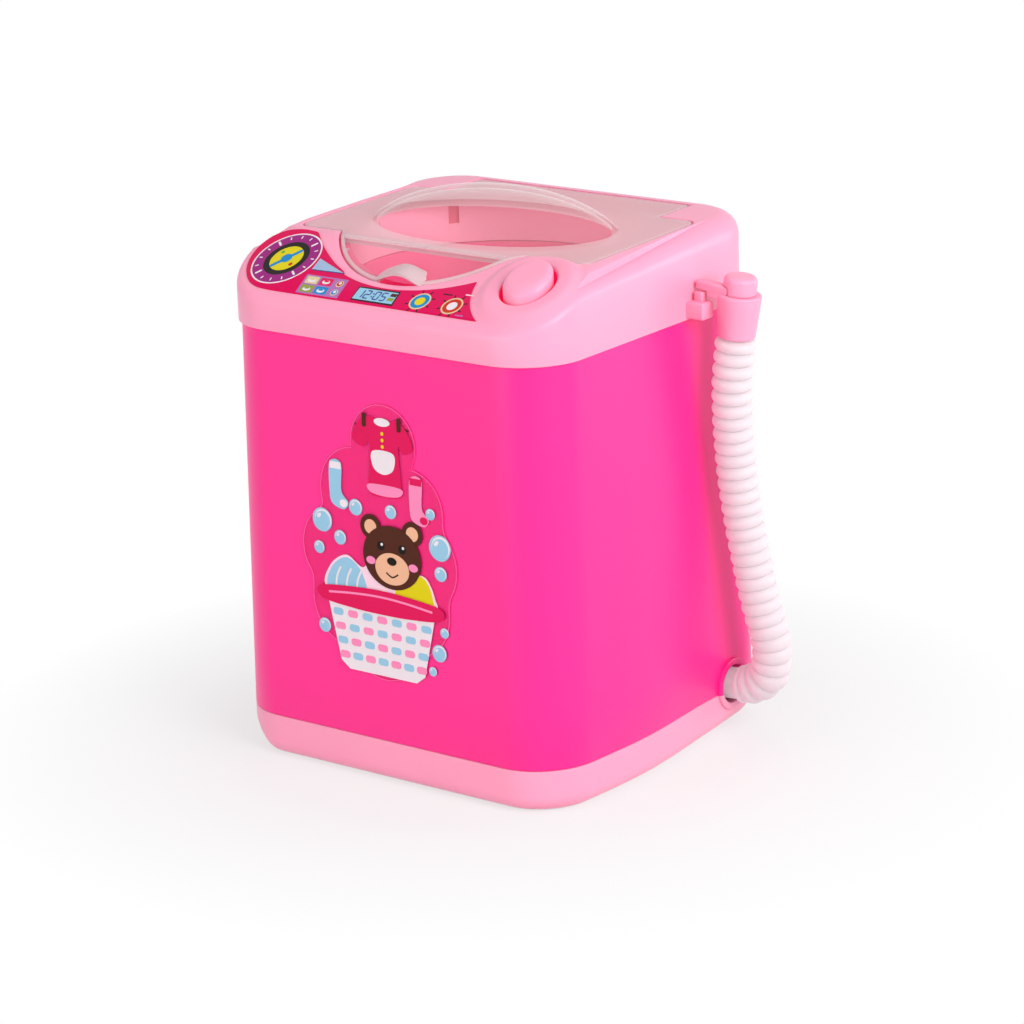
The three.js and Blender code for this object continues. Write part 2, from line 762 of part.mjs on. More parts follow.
// The cover's block above a level, drawn in and lowered, with rounded upper edges
function coverBlock(inset, drop, bottom, slopeRadius, topRadius) {
  const edged = (radius) => {
    const outline = (extra) => roundedRectangle(
      coverWidth - 2 * (inset + extra), coverDepth - 2 * (inset + extra), coverCorner - inset - extra);
    const rings = [level(outline(0), -farAway)];
    const steps = radius > 0 ? edgeSteps : 0;
    for (let i = 0; i <= steps; i++) {
      const angle = radius > 0 ? quarter * i / steps : quarter;
      const drawIn = radius > 0 ? radius * (1 - Math.cos(angle)) : 0;
      rings.push(level(outline(drawIn), -drop - radius * (1 - Math.sin(angle))));
    }
    return skin(rings);
  };
  const block = drape(edged(slopeRadius), edged(topRadius));
  return block.subtract(box([-farAway, -farAway, -farAway], [farAway, farAway, bottom]));
}

// The bracket on the right wall: a block with the post that carries the hose's arm
function makeBracket() {
  const face = coverWidth / 2;
  const low = highSeam + bracketBottom;
  const top = low + bracketHeight;
  const rear = bracketY + bracketWidth;
  const block = box([face - wall / 2, bracketY, low], [face + bracketReach, rear, top]);
  const upright = box(
    [face + postOffset, rear - postWidth, low],
    [face + postOffset + postThickness, rear, top + postHeight]);
  return block.add(upright);
}

// Top cover: sloped front, recess and hinge trough for the lid, collar over the tub, button well
function makeTopCover() {
  const high = coverTop + overrun;
  const low = highSeam - overrun;
  const recessBack = prism(lidOutline(lidGap + coverThickness), low, high)
    .subtract(below(recessDepth + coverThickness));
  const troughBack = box(
    [-pinEnd - coverThickness, hingeY - troughReach - coverThickness, troughFloor - coverThickness],
    [pinEnd + coverThickness, hingeY + troughReach + coverThickness, high]);
  const moundProfile = [[0, -coverThickness], [moundFoot, -coverThickness], [moundFoot, 0],
    [moundTop, moundHeight], [0, moundHeight]];
  const mound = drape(spun(moundProfile, midTurn).translate(buttonX, buttonY, 0));
  const cavity = coverBlock(wall, coverThickness, low, 0, 0).subtract(join([
    recessBack, troughBack,
    post(0, tubY, collarBottom, high, mouthRadius + collarWall, undefined, fineTurn),
    post(buttonX, buttonY, wellBottom, high, wellRadius + wellWall, undefined, midTurn),
    ...tubScrews.map(([x, y]) => post(x, y, collarBottom, high, bossRadius)),
  ]));
  const slotLow = collarBottom + collarSlotRise;
  const slot = box(
    [mouthRadius - overrun, -collarSlotWidth / 2, slotLow],
    [mouthRadius + collarWall + overrun, collarSlotWidth / 2, slotLow + collarSlotHeight]);
  const shell = join([
    coverBlock(0, 0, highSeam, slopeEdgeRadius, topEdgeRadius), mound, makeBracket()]);
  return shell.subtract(cavity).subtract(join([
    post(0, tubY, low, high, mouthRadius, undefined, fineTurn).subtract(troughBack),
    prism(lidOutline(lidGap), low, high).subtract(below(recessDepth)),
    box([-lidNeckHalfWidth - lidGap, hingeY - troughReach, troughFloor],
      [lidNeckHalfWidth + lidGap, hingeY + troughReach, high]),
    rodX(-pinEnd - fitGap, pinEnd + fitGap, hingeY, hingeZ, hingePinRadius + fitGap),
    slot.rotate([0, 0, collarSlotAngle]).translate([0, tubY, 0]),
    post(buttonX, buttonY, low - wellDepth, high, wellRadius, undefined, midTurn),
    ...tubScrews.map(([x, y]) => post(
      x, y, low, collarBottom + tubScrewLength, screwShank + fitGap)),
  ]));
}
addPiece('top_cover', makeTopCover(), palePink);

// Of the two points where two circles cross, the one with the lower x.
function leftMeet([ax, ay, ar], [bx, by, br]) {
  const gap = Math.hypot(bx - ax, by - ay);
  const along = (gap ** 2 + ar ** 2 - br ** 2) / (2 * gap);
  const across = Math.sqrt(ar ** 2 - along ** 2);
  const [ux, uy] = [(bx - ax) / gap, (by - ay) / gap];
  const points = [-1, 1].map((sign) => new THREE.Vector2(
    ax + along * ux - sign * across * uy, ay + along * uy + sign * across * ux));
  return points[0].x < points[1].x ? points[0] : points[1];
}

// Control label: a film on the slope, round at the dial and cut away round the button
function makeLabel() {
  const front = coverFront + labelFrontMargin;
  const tail = leftMeet(
    [labelArcX, labelArcY, labelArcRadius], [labelTailX, labelTailY, labelTailRadius]);
  const tailStart = -quarter - Math.acos((labelTailY - front) / labelTailRadius);
  const tailTurn = Math.atan2(tail.y - labelTailY, tail.x - labelTailX);
  const tailEnd = tailTurn > 0 ? tailTurn - 4 * quarter : tailTurn;
  const arcStart = Math.atan2(tail.y - labelArcY, tail.x - labelArcX);
  const arcEnd = Math.atan2(labelDialY - labelArcY, labelDialX - labelArcX);
  const points = [
    new THREE.Vector2(labelFrontLeft, front),
    ...arc(labelTailX, labelTailY, labelTailRadius, tailStart, tailEnd),
    ...arc(labelArcX, labelArcY, labelArcRadius, arcStart, arcEnd, 2 * cornerSteps).slice(1),
    ...arc(labelDialX, labelDialY, labelEndRadius, arcEnd + 2 * quarter, 3 * quarter, 2 * cornerSteps),
  ];
  return solid(layOn(slab(points, filmGap, filmGap + labelThickness), slopeHeight));
}
addPiece('control_label', makeLabel(), labelMagenta);

// Front sticker: a film cut round a cluster of lobes, on the front wall
function makeSticker() {
  const lobes = stickerLobeShares.map(([across, up, radius]) => post(
    stickerX + across * stickerWidth, stickerZ + up * stickerHeight, filmGap,
    filmGap + stickerThickness, radius * stickerWidth, undefined, midTurn));
  return join(lobes).warp((point) => {
    const height = point[1];
    point[1] = frontWallY(height) - point[2];
    point[2] = height;
  });
}
addPiece('front_sticker', makeSticker(), stickerFilm);

// Wash tub: a tapering cup with ribs, screw ears, a drain spigot and two motor pillars
function makeWashTub() {
  const outerRadius = mouthRadius + tubWall;
  const flangeBottom = tubTop - tubFlangeThickness;
  const flangeRadius = mouthRadius + tubFlangeWidth;
  const cup = turned(0, tubY, [
    [0, tubFloorZ], [tubFloorRadius + tubWall, tubFloorZ], [outerRadius, flangeBottom],
    [flangeRadius, flangeBottom], [flangeRadius, tubTop], [mouthRadius, tubTop],
    [tubFloorRadius, tubFloorTop], [0, tubFloorTop]], fineTurn);
  const ribTop = tubTop - tubRibMargin;
  const bore = post(0, tubY, tubFloorZ, tubTop, tubFloorRadius - tubRibDepth,
    mouthRadius - tubRibDepth, fineTurn);
  const hull = post(0, tubY, tubFloorZ, tubTop, tubFloorRadius + tubWall / 2,
    mouthRadius + tubWall / 2, fineTurn);
  const ribs = Array.from({ length: tubRibCount }, (_, i) => box(
    [0, -tubRibWidth / 2, tubFloorTop + tubRibMargin], [farAway, tubRibWidth / 2, ribTop])
    .rotate([0, 0, 90 + i * 360 / tubRibCount]).translate([0, tubY, 0])
    .intersect(hull).subtract(bore));
  const ears = tubScrews.map(([x, y]) => post(x, y, flangeBottom, tubTop, tubEarRadius));
  const pillars = [-motorScrewX, motorScrewX].map(
    (x) => post(x, tubY, motorPlateTop, tubFloorZ + tubFloor / 2, pillarRadius));
  const spigot = post(drainX, drainY, tubFloorZ - spigotLength, tubFloorZ + tubFloor / 2,
    pipeBore - fitGap);
  return join([cup, spigot, ...ribs, ...ears, ...pillars]).subtract(join([
    post(0, tubY, tubFloorZ - overrun, tubFloorTop + overrun, sealRadius + filmGap),
    post(drainX, drainY, tubFloorZ - spigotLength - overrun, tubFloorTop + overrun, spigotBore),
    ...tubScrews.map(([x, y]) => post(
      x, y, flangeBottom - overrun, tubTop + overrun, screwShank + fitGap)),
    ...[-motorScrewX, motorScrewX].map((x) => post(
      x, tubY, motorPlateTop - overrun, tubFloorZ, motorScrewShank + fitGap)),
  ]));
}
addPiece('wash_tub', makeWashTub(), palePink);
tubScrews.forEach(([x, y], i) => {
  const piece = screw(x, y, tubTop - tubFlangeThickness, tubScrewLength - overrun);
  addPiece(`tub_screw_${i + 1}`, piece, steel);
});

// Motor, hung under the tub on a plate and two screws
function makeMotorPlate() {
  const plate = box(
    [-motorPlateLength / 2, tubY - motorPlateWidth / 2, motorTop],
    [motorPlateLength / 2, tubY + motorPlateWidth / 2, motorPlateTop]);
  return plate.subtract(join([
    post(0, tubY, motorTop - overrun, motorPlateTop + overrun, motorBossRadius + fitGap),
    ...[-motorScrewX, motorScrewX].map((x) => post(
      x, tubY, motorTop - overrun, motorPlateTop + overrun, motorScrewShank + fitGap)),
  ]));
}

function makeMotor() {
  const radius = motorWidth / 2;
  const half = Math.asin(motorDepth / motorWidth);
  const outline = [
    ...arc(0, tubY, radius, -half, half),
    ...arc(0, tubY, radius, 2 * quarter - half, 2 * quarter + half)];
  const low = motorTop - motorCanHeight;
  return join([
    prism(outline, low, motorTop),
    post(0, tubY, low - motorCapHeight, low + overrun, motorCapRadius, undefined, midTurn),
    post(0, tubY, motorTop - overrun, motorPlateTop, motorBossRadius),
  ]).subtract(post(
    0, tubY, motorTop - shaftGrip - fitGap, motorPlateTop + overrun, shaftRadius + filmGap));
}
addPiece('motor_plate', makeMotorPlate(), darkPlastic);
addPiece('motor', makeMotor(), steel);
[-motorScrewX, motorScrewX].forEach((x, i) => {
  const piece = screw(x, tubY, motorTop, motorScrewLength, motorScrewShank, motorScrewHead);
  addPiece(`motor_screw_${i + 1}`, piece, steel);
});

// Shaft seal in the tub's floor
addPiece('shaft_seal', turned(0, tubY, [
  [shaftRadius + filmGap, tubFloorZ - sealDrop], [sealRadius, tubFloorZ - sealDrop],
  [sealRadius, tubFloorTop], [sealLipRadius, tubFloorTop], [sealLipRadius, tubFloorTop + sealLip],
  [shaftRadius + filmGap, tubFloorTop + sealLip], [shaftRadius + filmGap, tubFloorZ - sealDrop],
], smallTurn), rubber);

// Shaft and agitator, which spin together
const hubTop = agitatorBottom + hubHeight;
addPiece('motor_shaft', post(0, tubY, motorTop - shaftGrip, hubTop - hubCap, shaftRadius), steel);

function makeAgitator() {
  const discTop = agitatorBottom + agitatorDisc;
  const inner = hubTopRadius / 2;
  const outer = agitatorRadius - finMargin;
  const finRing = (z, width, end) => level([
    new THREE.Vector2(inner, -width / 2), new THREE.Vector2(end, -width / 2),
    new THREE.Vector2(end, width / 2), new THREE.Vector2(inner, width / 2)], z);
  const fin = skin([
    finRing(discTop - agitatorDisc / 2, finWidth, outer),
    finRing(discTop + finHeight, finTopWidth, outer - finHeight / 2)]);
  const fins = Array.from({ length: finCount }, (_, i) => solid(fin)
    .rotate([0, 0, 360 * (i + 1 / 2) / finCount]).translate([0, tubY, 0]));
  return join([
    post(0, tubY, agitatorBottom, discTop, agitatorRadius, undefined, fineTurn),
    post(0, tubY, agitatorBottom, hubTop, hubRadius, hubTopRadius, midTurn),
    ...fins,
  ]).subtract(post(
    0, tubY, agitatorBottom - overrun, hubTop - hubCap + filmGap, shaftRadius + filmGap));
}
addPiece('agitator', makeAgitator(), palePink);

// Lid: a plate in two planes with a dome, a finger arch and hinge pins at its rear
function domeSkin(inset, foot) {
  const halfX = domeHalfX - inset;
  const halfY = domeHalfY - inset;
  const ellipse = (share, height) => Array.from({ length: fineTurn }, (_, i) => {
    const angle = 4 * quarter * i / fineTurn;
    return new THREE.Vector3(
      domeX + share * halfX * Math.cos(angle), domeY + share * halfY * Math.sin(angle), height);
  });
  const rings = [ellipse(1, -foot)];
  for (let i = 0; i < cornerSteps; i++) {
    const angle = domeArc * (1 - i / cornerSteps);
    const height = (Math.cos(angle) - Math.cos(domeArc)) / (1 - Math.cos(domeArc));
    rings.push(ellipse(Math.sin(angle) / Math.sin(domeArc), height * (domeHeight - inset)));
  }
  return solid(layOn(skin(rings), topHeight));
}

function archSkin(inset, frontExtra) {
  const halfWidth = archHalfWidth - inset;
  const height = archHeight - inset;
  const front = lidArcY - lidArcRadius;
  const reach = archLength - inset;
  const stations = [[-frontExtra, 1], [reach / 2, 1], [reach * 3 / 4, 3 / 4], [reach, 1 / 4]];
  const rings = stations.map(([along, share]) => {
    const hoop = arc(0, 0, share, 0, 2 * quarter, 2 * cornerSteps).map(
      (point) => new THREE.Vector3(archX + point.x * halfWidth, front + along, point.y * height));
    const left = new THREE.Vector3(archX - halfWidth * share, front + along, -recessDepth);
    const right = new THREE.Vector3(archX + halfWidth * share, front + along, -recessDepth);
    return [...hoop, left, right];
  });
  return solid(layOn(skin(rings), slopeHeight));
}

function makeLid() {
  const high = coverTop + domeHeight;
  const outline = prism(lidOutline(0), highSeam, high);
  const deep = below(lidThickness);
  const plate = outline.intersect(below(0)).subtract(deep);
  const dome = domeSkin(0, lidThickness / 2);
  const arch = archSkin(0, 0).intersect(outline).subtract(deep);
  const spans = [[lidNeckHalfWidth - knuckleLength, lidNeckHalfWidth, knuckleRadius],
    [lidNeckHalfWidth - overrun, pinEnd, hingePinRadius]];
  const pins = spans.flatMap(([start, end, radius]) => [
    rodX(start, end, hingeY, hingeZ, radius), rodX(-end, -start, hingeY, hingeZ, radius)]);
  return join([plate, dome, arch]).subtract(join([
    domeSkin(lidThickness, recessDepth), archSkin(archWall, overrun)])).add(join(pins));
}
addPiece('lid', makeLid(), frosted);

// Push button: a capped tube whose top runs with the slope, and its plunger
const switchTop = wellBottom;
const buttonInside = slopeHeight(buttonY) - buttonWall;
function makeButton() {
  const bottom = slopeHeight(buttonY) - buttonSkirt;
  const circle = (radius, z) => level(
    arc(buttonX, buttonY, radius, 0, 4 * quarter, midTurn).slice(1), z);
  const rings = [circle(buttonRadius, -farAway)];
  for (let i = 0; i <= edgeSteps; i++) {
    const angle = quarter * i / edgeSteps;
    const radius = buttonRadius - buttonEdge * (1 - Math.cos(angle));
    rings.push(circle(radius, buttonRise - buttonEdge * (1 - Math.sin(angle))));
  }
  const outside = solid(layOn(skin(rings), slopeHeight))
    .subtract(box([-farAway, -farAway, -farAway], [farAway, farAway, bottom]));
  const inside = post(buttonX, buttonY, bottom - overrun, buttonInside,
    buttonRadius - buttonWall, undefined, midTurn);
  const plunger = post(buttonX, buttonY, switchTop + buttonTravel + fitGap,
    buttonInside + overrun, plungerRadius);
  return outside.subtract(inside).add(plunger);
}
addPiece('push_button', makeButton(), palePink);

// Return spring, drawn as the sleeve that its coils fill
const springBore = springRadius - 2 * springWire;
addPiece('button_spring', turned(buttonX, buttonY, [
  [springBore, switchTop + filmGap], [springRadius, switchTop + filmGap],
  [springRadius, buttonInside - filmGap], [springBore, buttonInside - filmGap],
  [springBore, switchTop + filmGap]], smallTurn), steel);

function makeSwitch() {
  const flange = post(
    buttonX, buttonY, switchTop - switchHead, switchTop, switchRadius, undefined, midTurn);
  return flange.add(box(
    [buttonX - switchSide / 2, buttonY - switchSide / 2, switchTop - switchHead - switchHeight],
    [buttonX + switchSide / 2, buttonY + switchSide / 2, switchTop - switchHead / 2]));
}
addPiece('power_switch', makeSwitch(), darkPlastic);

// Drain hose: a smooth cuff in the port, then ribs up to the sleeve
function makeHose() {
  const curve = smoothCurve(hoseRoute);
  const length = curve.getLength() - fitGap;
  const ribCount = Math.floor((length - cuffLength) / ribPitch);
  const pitch = (length - cuffLength) / ribCount;
  const outside = [[0, cuffRadius], [cuffLength / 2, cuffRadius], [cuffLength, hoseRoot]];
  const inside = [[0, hoseBore], [cuffLength / 2, hoseBore]];
  for (let i = 0; i < ribCount; i++) {
    const start = cuffLength + i * pitch;
    outside.push([start + pitch / 2, hoseCrest], [start + pitch, hoseRoot]);
    if (i < elbowRibs || i % boreStep === 0) inside.push([start + pitch / 2, hoseBore]);
  }
  inside.push([length, hoseBore]);
  const rings = ringsAlong(curve, outside, ringSides);
  return solid(skin([...rings, ...ringsAlong(curve, inside, ringSides).reverse()], true));
}
addPiece('drain_hose', makeHose(), hosePlastic);

// A piece built upright about the origin, set on the hose's tilted end.
function onHoseEnd(shape) {
  return shape.rotate([0, sleeveTilt, 0]).translate(hoseRoute[hoseRoute.length - 1]);
}

function makeSleeve() {
  const tube = turned(0, 0, [
    [sleeveBore, 0], [sleeveBottomRadius, 0],
    [sleeveTopRadius, sleeveLength - sleeveEdge], [sleeveTopRadius - sleeveEdge, sleeveLength],
    [sleeveBore, sleeveLength], [sleeveBore, 0]]);
  const low = armY - armWidth / 2;
  const high = armY + armWidth / 2;
  const top = sleeveLength + armThickness;
  const arm = box([-armReach, low, sleeveLength], [0, high, top]);
  const root = box([-armRootReach, low, top - armRootHeight], [0, high, top]);
  const around = post(0, 0, sleeveLength, top + overrun, stopperRadius + fitGap, undefined, midTurn);
  const bore = post(0, 0, -overrun, sleeveLength + overrun, sleeveBore, undefined, midTurn);
  return tube.add(arm.add(root).subtract(around.add(bore)));
}
addPiece('hose_sleeve', onHoseEnd(makeSleeve()), palePink);

// Stopper: a plug with a rounded cap
function makeStopper() {
  const low = sleeveLength + filmGap;
  const high = low + stopperHeight;
  const edge = Array.from({ length: edgeSteps + 1 }, (_, i) => {
    const angle = quarter * i / edgeSteps;
    return [stopperRadius - stopperEdge * (1 - Math.cos(angle)),
      high - stopperEdge * (1 - Math.sin(angle))];
  });
  return turned(0, 0, [
    [0, low - stopperPlug], [sleeveBore - fitGap, low - stopperPlug], [sleeveBore - fitGap, low],
    [stopperRadius, low], ...edge, [0, high]]);
}
addPiece('hose_stopper', onHoseEnd(makeStopper()), palePink);

// Drain pipe from the tub's spigot down to the hose
function makeDrainPipe() {
  const curve = smoothCurve([
    [drainX, drainY, tubFloorZ - fitGap], [drainX, drainY, tubFloorZ - 2 * pipeRadius],
    ...pipeBends.map(([x, forward, z]) => [x, portY - forward, z]),
    [pipeEndX, portY, portZ], [hoseX - fitGap, portY, portZ]]);
  const length = curve.getLength();
  const outside = ringsAlong(curve, evenStations(length, pipeRadius, pipeRadius), ringSides);
  const inside = ringsAlong(curve, evenStations(length, pipeRadius, pipeBore), ringSides);
  return solid(skin([...outside, ...inside.reverse()], true));
}
addPiece('drain_pipe', makeDrainPipe(), hosePlastic);

// Wires between the battery contacts, the switch and the motor
function makeWire(points) {
  const curve = smoothCurve(points);
  const stations = evenStations(curve.getLength(), 4 * wireRadius, wireRadius);
  return solid(skin(ringsAlong(curve, stations, wireTurn)));
}
const tabTop = compartmentRoof + tabRise + fitGap;
const tabX = contactFace - contactPlate / 2;
const switchBottom = switchTop - switchHead - switchHeight - fitGap;
const motorBottom = motorTop - motorCanHeight - motorCapHeight - fitGap;
addPiece('supply_wire', makeWire([
  [tabX, plusY, tabTop], [tabX, supplyFirstY, supplyFirstZ], ...supplyBends,
  [supplyEndX, buttonY, wireRiseZ], [supplyEndX, buttonY, switchBottom]]), redFilm);
addPiece('switch_wire', makeWire([
  [switchEndX, buttonY, switchBottom], [switchEndX, buttonY, wireRiseZ], ...switchBends,
  [switchBends.at(-1)[0], switchBends.at(-1)[1], motorBottom]]), redFilm);
addPiece('return_wire', makeWire([
  [returnBends[0][0], returnBends[0][1], motorBottom], ...returnBends,
  [tabX, minusY, tabTop + overrun], [tabX, minusY, tabTop]]), rubber);

export default machine;
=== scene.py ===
"""Looks of a toy washing machine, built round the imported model. Sizes are in millimetres, in the
model's own frame: +Z up, the front faces -Y, and the hose is on the +X side."""

import math

import bmesh
import bpy
from mathutils import Matrix, Vector
from mathutils.geometry import delaunay_2d_cdt


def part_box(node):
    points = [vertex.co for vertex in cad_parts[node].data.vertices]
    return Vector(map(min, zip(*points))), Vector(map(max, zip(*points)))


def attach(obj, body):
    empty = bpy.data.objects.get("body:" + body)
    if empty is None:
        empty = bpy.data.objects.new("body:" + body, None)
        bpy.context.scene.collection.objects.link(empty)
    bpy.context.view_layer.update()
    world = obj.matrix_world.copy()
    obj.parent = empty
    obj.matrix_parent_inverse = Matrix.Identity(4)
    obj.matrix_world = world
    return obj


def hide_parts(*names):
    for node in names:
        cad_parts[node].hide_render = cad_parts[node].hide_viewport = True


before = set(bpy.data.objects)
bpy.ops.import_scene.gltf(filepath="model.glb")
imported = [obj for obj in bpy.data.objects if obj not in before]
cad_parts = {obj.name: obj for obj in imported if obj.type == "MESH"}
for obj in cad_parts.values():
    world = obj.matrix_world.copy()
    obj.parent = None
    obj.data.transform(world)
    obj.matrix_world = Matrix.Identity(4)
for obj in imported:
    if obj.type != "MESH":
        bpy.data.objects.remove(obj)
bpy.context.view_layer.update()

MM = 0.001

# Casing
BODY_WIDTH_BASE = 93.1
BODY_WIDTH_TOP = 91.2
BODY_DEPTH_BASE = 86.6
BODY_DEPTH_TOP = 84.8
CORNER_RADIUS = 14
REAR_CORNER = 10.5
SIDE_BOW = 1.7
BOW_Y = -10
BOW_REACH = 32
LOW_SEAM = 10
HIGH_SEAM = 102
WALL = 1.8
BASE_EDGE = 4
BASE_EDGE_FAR = 7.5
FAR_START = 45
FAR_END = 76
SOFT_START = 35
SOFT_WIDTH = 8
SEAM_EDGE = 0.35
BASE_FLOOR = 2.15
DOOR_RECESS = 1.95
DOOR_GAP = 0.3
DOOR_TAB = 5
SCREW_MOUTH = 2.9
SCREW_DEPTH = 5
SCREW_BOSS = 4.2
BOSS_TOP = 6
COVER_WIDTH = 92.8
COVER_DEPTH = 86.4
COVER_CORNER = 14.8
FRONT_SKIRT = 7.5
SLOPE_DEPTH = 22.2
SLOPE = math.tan(math.radians(25.8))
REAR_SLOPE = math.tan(math.radians(1.5))
CREASE = 2.2
TOP_EDGE = 4.8
SLOPE_EDGE = 1.9
COVER_FRONT = -COVER_DEPTH / 2
BEND_Y = COVER_FRONT + SLOPE_DEPTH

# Cover's openings
RECESS_DEPTH = 1.6
LID_GAP = 0.45
RECESS_RIM = 0.35
TUB_Y = 2.6
MOUTH_RADIUS = 33
MOUTH_RIM = 0.5
COLLAR_WALL = 1.5
COLLAR_BOTTOM = 109.5
CEILING_DEPTH = 3.6
TROUGH_DROP = 3
TROUGH_REACH = 2.64
TROUGH_START = 29
TROUGH_EASE = 2.5
PIN_GAP = 0.3
CUT_GAP = 0.02
SLOT_WIDTH = 2.6
SLOT_LOW = 114.2
SLOT_HEIGHT = 4.5
SLOT_ANGLE = 144
SLOT_DEPTH = 1.1

# Lid
LID_THICKNESS = 1.3
LID_EDGE = 0.3
LID_HALF_WIDTH = 40.4
LID_ARC_RADIUS = 29.1
LID_ARC_X = -2
LID_ARC_Y = -4.1
LID_FRONT_OFFSET = 3.2
LID_SHOULDER_Y = 24.6
LID_NECK = 30
LID_CORNER = 2.6
HINGE_Y = 35
HINGE_DROP = 1.8
LID_TAIL = 1.5
PIN_RADIUS = 1
PIN_END = 32.6
KNUCKLE_RADIUS = 1.6
KNUCKLE_LENGTH = 2.4
DOME_HALF_X = 31.8
DOME_HALF_Y = 19.6
DOME_X = -0.8
DOME_Y = 3.4
DOME_HEIGHT = 8.2
DOME_ARC = math.radians(60)
ARCH_X = -0.2
ARCH_HALF_WIDTH = 6.4
ARCH_LENGTH = 5
ARCH_HEIGHT = 2.2
ARCH_WALL = 0.6
ARCH_SHADE_Y = -29.6
SHADE_GRID = 0.8
ARCH_STRAIGHT = 0.35
ARCH_ROUND = 0.65
WINDOW_RIM = 0.85
WINDOW_DROP = 0.35
RIDGE_WIDTH = 0.9
RIDGE_HEIGHT = 0.3
CREASE_HALF = 33.6
SPARE_LEFT = -43
SPARE_FRONT = -34

# Push button
BUTTON_X = 33.1
BUTTON_Y = -29.4
BUTTON_RADIUS = 5.55
BUTTON_RISE = 3.5
BUTTON_EDGE = 1.6
BUTTON_SKIRT = 9
BUTTON_WALL = 1.4
BUTTON_CROWN = 0.14
WELL_RADIUS = 6.35
WELL_RIM = 0.55
WELL_WALL = 1.2
WELL_BOTTOM = 98.17
MOUND_FOOT = 12.4
MOUND_TOP = 9.3
MOUND_HEIGHT = 1.2

# Control label
FILM_GAP = 0.05
FILM = 0.25
INK = 0.04
INK_LAYER = INK * 0.9
PRINT_START = FILM_GAP + FILM + 0.01
LABEL_FRONT_MARGIN = 2.5
LABEL_ARC_X = -1.6
LABEL_ARC_Y = 5.4
LABEL_ARC_RADIUS = 40.8
LABEL_TAIL_X = 36
LABEL_TAIL_Y = -26
LABEL_TAIL_RADIUS = 17.1
LABEL_END = [
    (-16, -32.2), (-19.9, -30.3), (-23.5, -28.1), (-26.8, -25.8), (-29.3, -23.8), (-31.3, -22),
    (-32.6, -21.5),
    (-36, -21.35), (-39, -21.9), (-41.2, -23), (-42.9, -24.9), (-43.8, -27.4), (-43.9, -30), (-43.2, -33),
    (-41.6, -35.9), (-39.1, -38.4), (-36.6, -39.8), (-34, -40.45), (-30.3, -40.68),
]
LABEL_END_X = -34.5
LABEL_END_Y = -31
DIAL_X = -33.7
DIAL_Y = -30.95
KNOB_Y = -37.7

# Front sticker
STICKER_WIDTH = 44.8
STICKER_HEIGHT = 65.4
STICKER_X = -0.4
STICKER_Z = 56.9
STICKER_LOBES = [
    (0.05, 0.36, 0.205), (-0.13, 0.17, 0.24), (0.2, 0.14, 0.22), (-0.265, -0.05, 0.235),
    (0.25, -0.05, 0.25), (0, 0, 0.3), (-0.2, -0.24, 0.24), (0.22, -0.23, 0.22), (0.02, -0.33, 0.245),
]
LOBE_POWER = 14
STICKER_STEPS = 240

# Hose bracket
BRACKET_Y = 11.2
BRACKET_WIDTH = 4.3
BRACKET_REACH = 4.6
BRACKET_LOW = 102.5
BRACKET_HEIGHT = 3.8
POST_OFFSET = 0.7
POST_THICKNESS = 2.2
POST_WIDTH = 2.1
POST_HEIGHT = 2.1

# Hose, port, sleeve and stopper
PORT_Y = 27.6
PORT_Z = 11.4
PORT_RADIUS = 4.6
PORT_RIM = 6.2
PORT_RISE = 0.7
HOSE_CREST = 4.75
HOSE_ROOT = 3.55
HOSE_ROOT_LOW = 4.1
HOSE_BORE = 2.9
CUFF_RADIUS = 3.7
CUFF_LENGTH = 9.8
FLANGE_WIDTH = 1.6
FLANGE_RADIUS = 4.4
RIB_PITCH = 3
HOSE_ROUTE = [
    (41, PORT_Y, PORT_Z), (47, PORT_Y, PORT_Z), (52.3, PORT_Y, 12.4), (56.4, 27.3, 15),
    (58.1, 26.9, 19.4), (58.3, 26.1, 25), (56.6, 24.5, 34.6), (54.9, 23, 46.6),
    (53.6, 21.5, 58.8), (53.2, 20, 70.9), (53.9, 18.2, 86), (55.22, 18, 98.1),
]
SLEEVE_TILT = math.radians(6.2)
SLEEVE_LENGTH = 10
SLEEVE_TOP = 5.05
SLEEVE_BOTTOM = 4.35
SLEEVE_BORE = 3.1
STOPPER_RADIUS = 3.8
STOPPER_HEIGHT = 4.2
STOPPER_EDGE = 1.3
STOPPER_PLUG = 5
ARM_Y = -2.5
ARM_WIDTH = 3
ARM_THICKNESS = 1.8
ARM_REACH = 9.2
ARM_ROOT = 5.9

# Wash tub and agitator
TUB_FLOOR_RADIUS = 29.5
TUB_WALL = 1.5
TUB_FLOOR_Z = 52
TUB_FLOOR_TOP = 53.8
TUB_TOP = 109.2
TUB_FLANGE = 2.3
TUB_FLANGE_BOTTOM = 107.6
TUB_FILLET = 4
TUB_BORE = 4.1
RIB_COUNT = 3
RIB_HALF = 1.3
RIB_DEPTH = 1.4
RIB_ROOT = 0.7
RIB_MARGIN = 6
AGITATOR_RADIUS = 21
AGITATOR_BOTTOM = 55.4
AGITATOR_DISC = 2.2
FIN_COUNT = 4
FIN_HEIGHT = 6
FIN_ROOT = 0.8
FIN_START = 1.5
FIN_HALF = 1.7
FIN_TAPER = 0.8
FIN_TIP = 0.45
FIN_MARGIN = 1.4
FIN_SLANT = 3.5
SHAFT_BORE = 1.05
HUB_RADIUS = 5
HUB_TOP_RADIUS = 3.4
HUB_HEIGHT = 11
HUB_FILLET = 2.2
HUB_FOOT = 2.4
HUB_ROUND = 1.6
HUB_SOCKET = 2.35

# Steps along curves
FINE = 96
MEDIUM = 48
CORNER_STEPS = 20
EDGE_STEPS = 6
RIM_STEPS = 5
BEVEL_STEPS = 3
DOME_STEPS = 14
RIB_STEPS = 8
HOSE_STEPS = 40
GRID = 3.2

TURN = 2 * math.pi
QUARTER = math.pi / 2


# Plan outlines

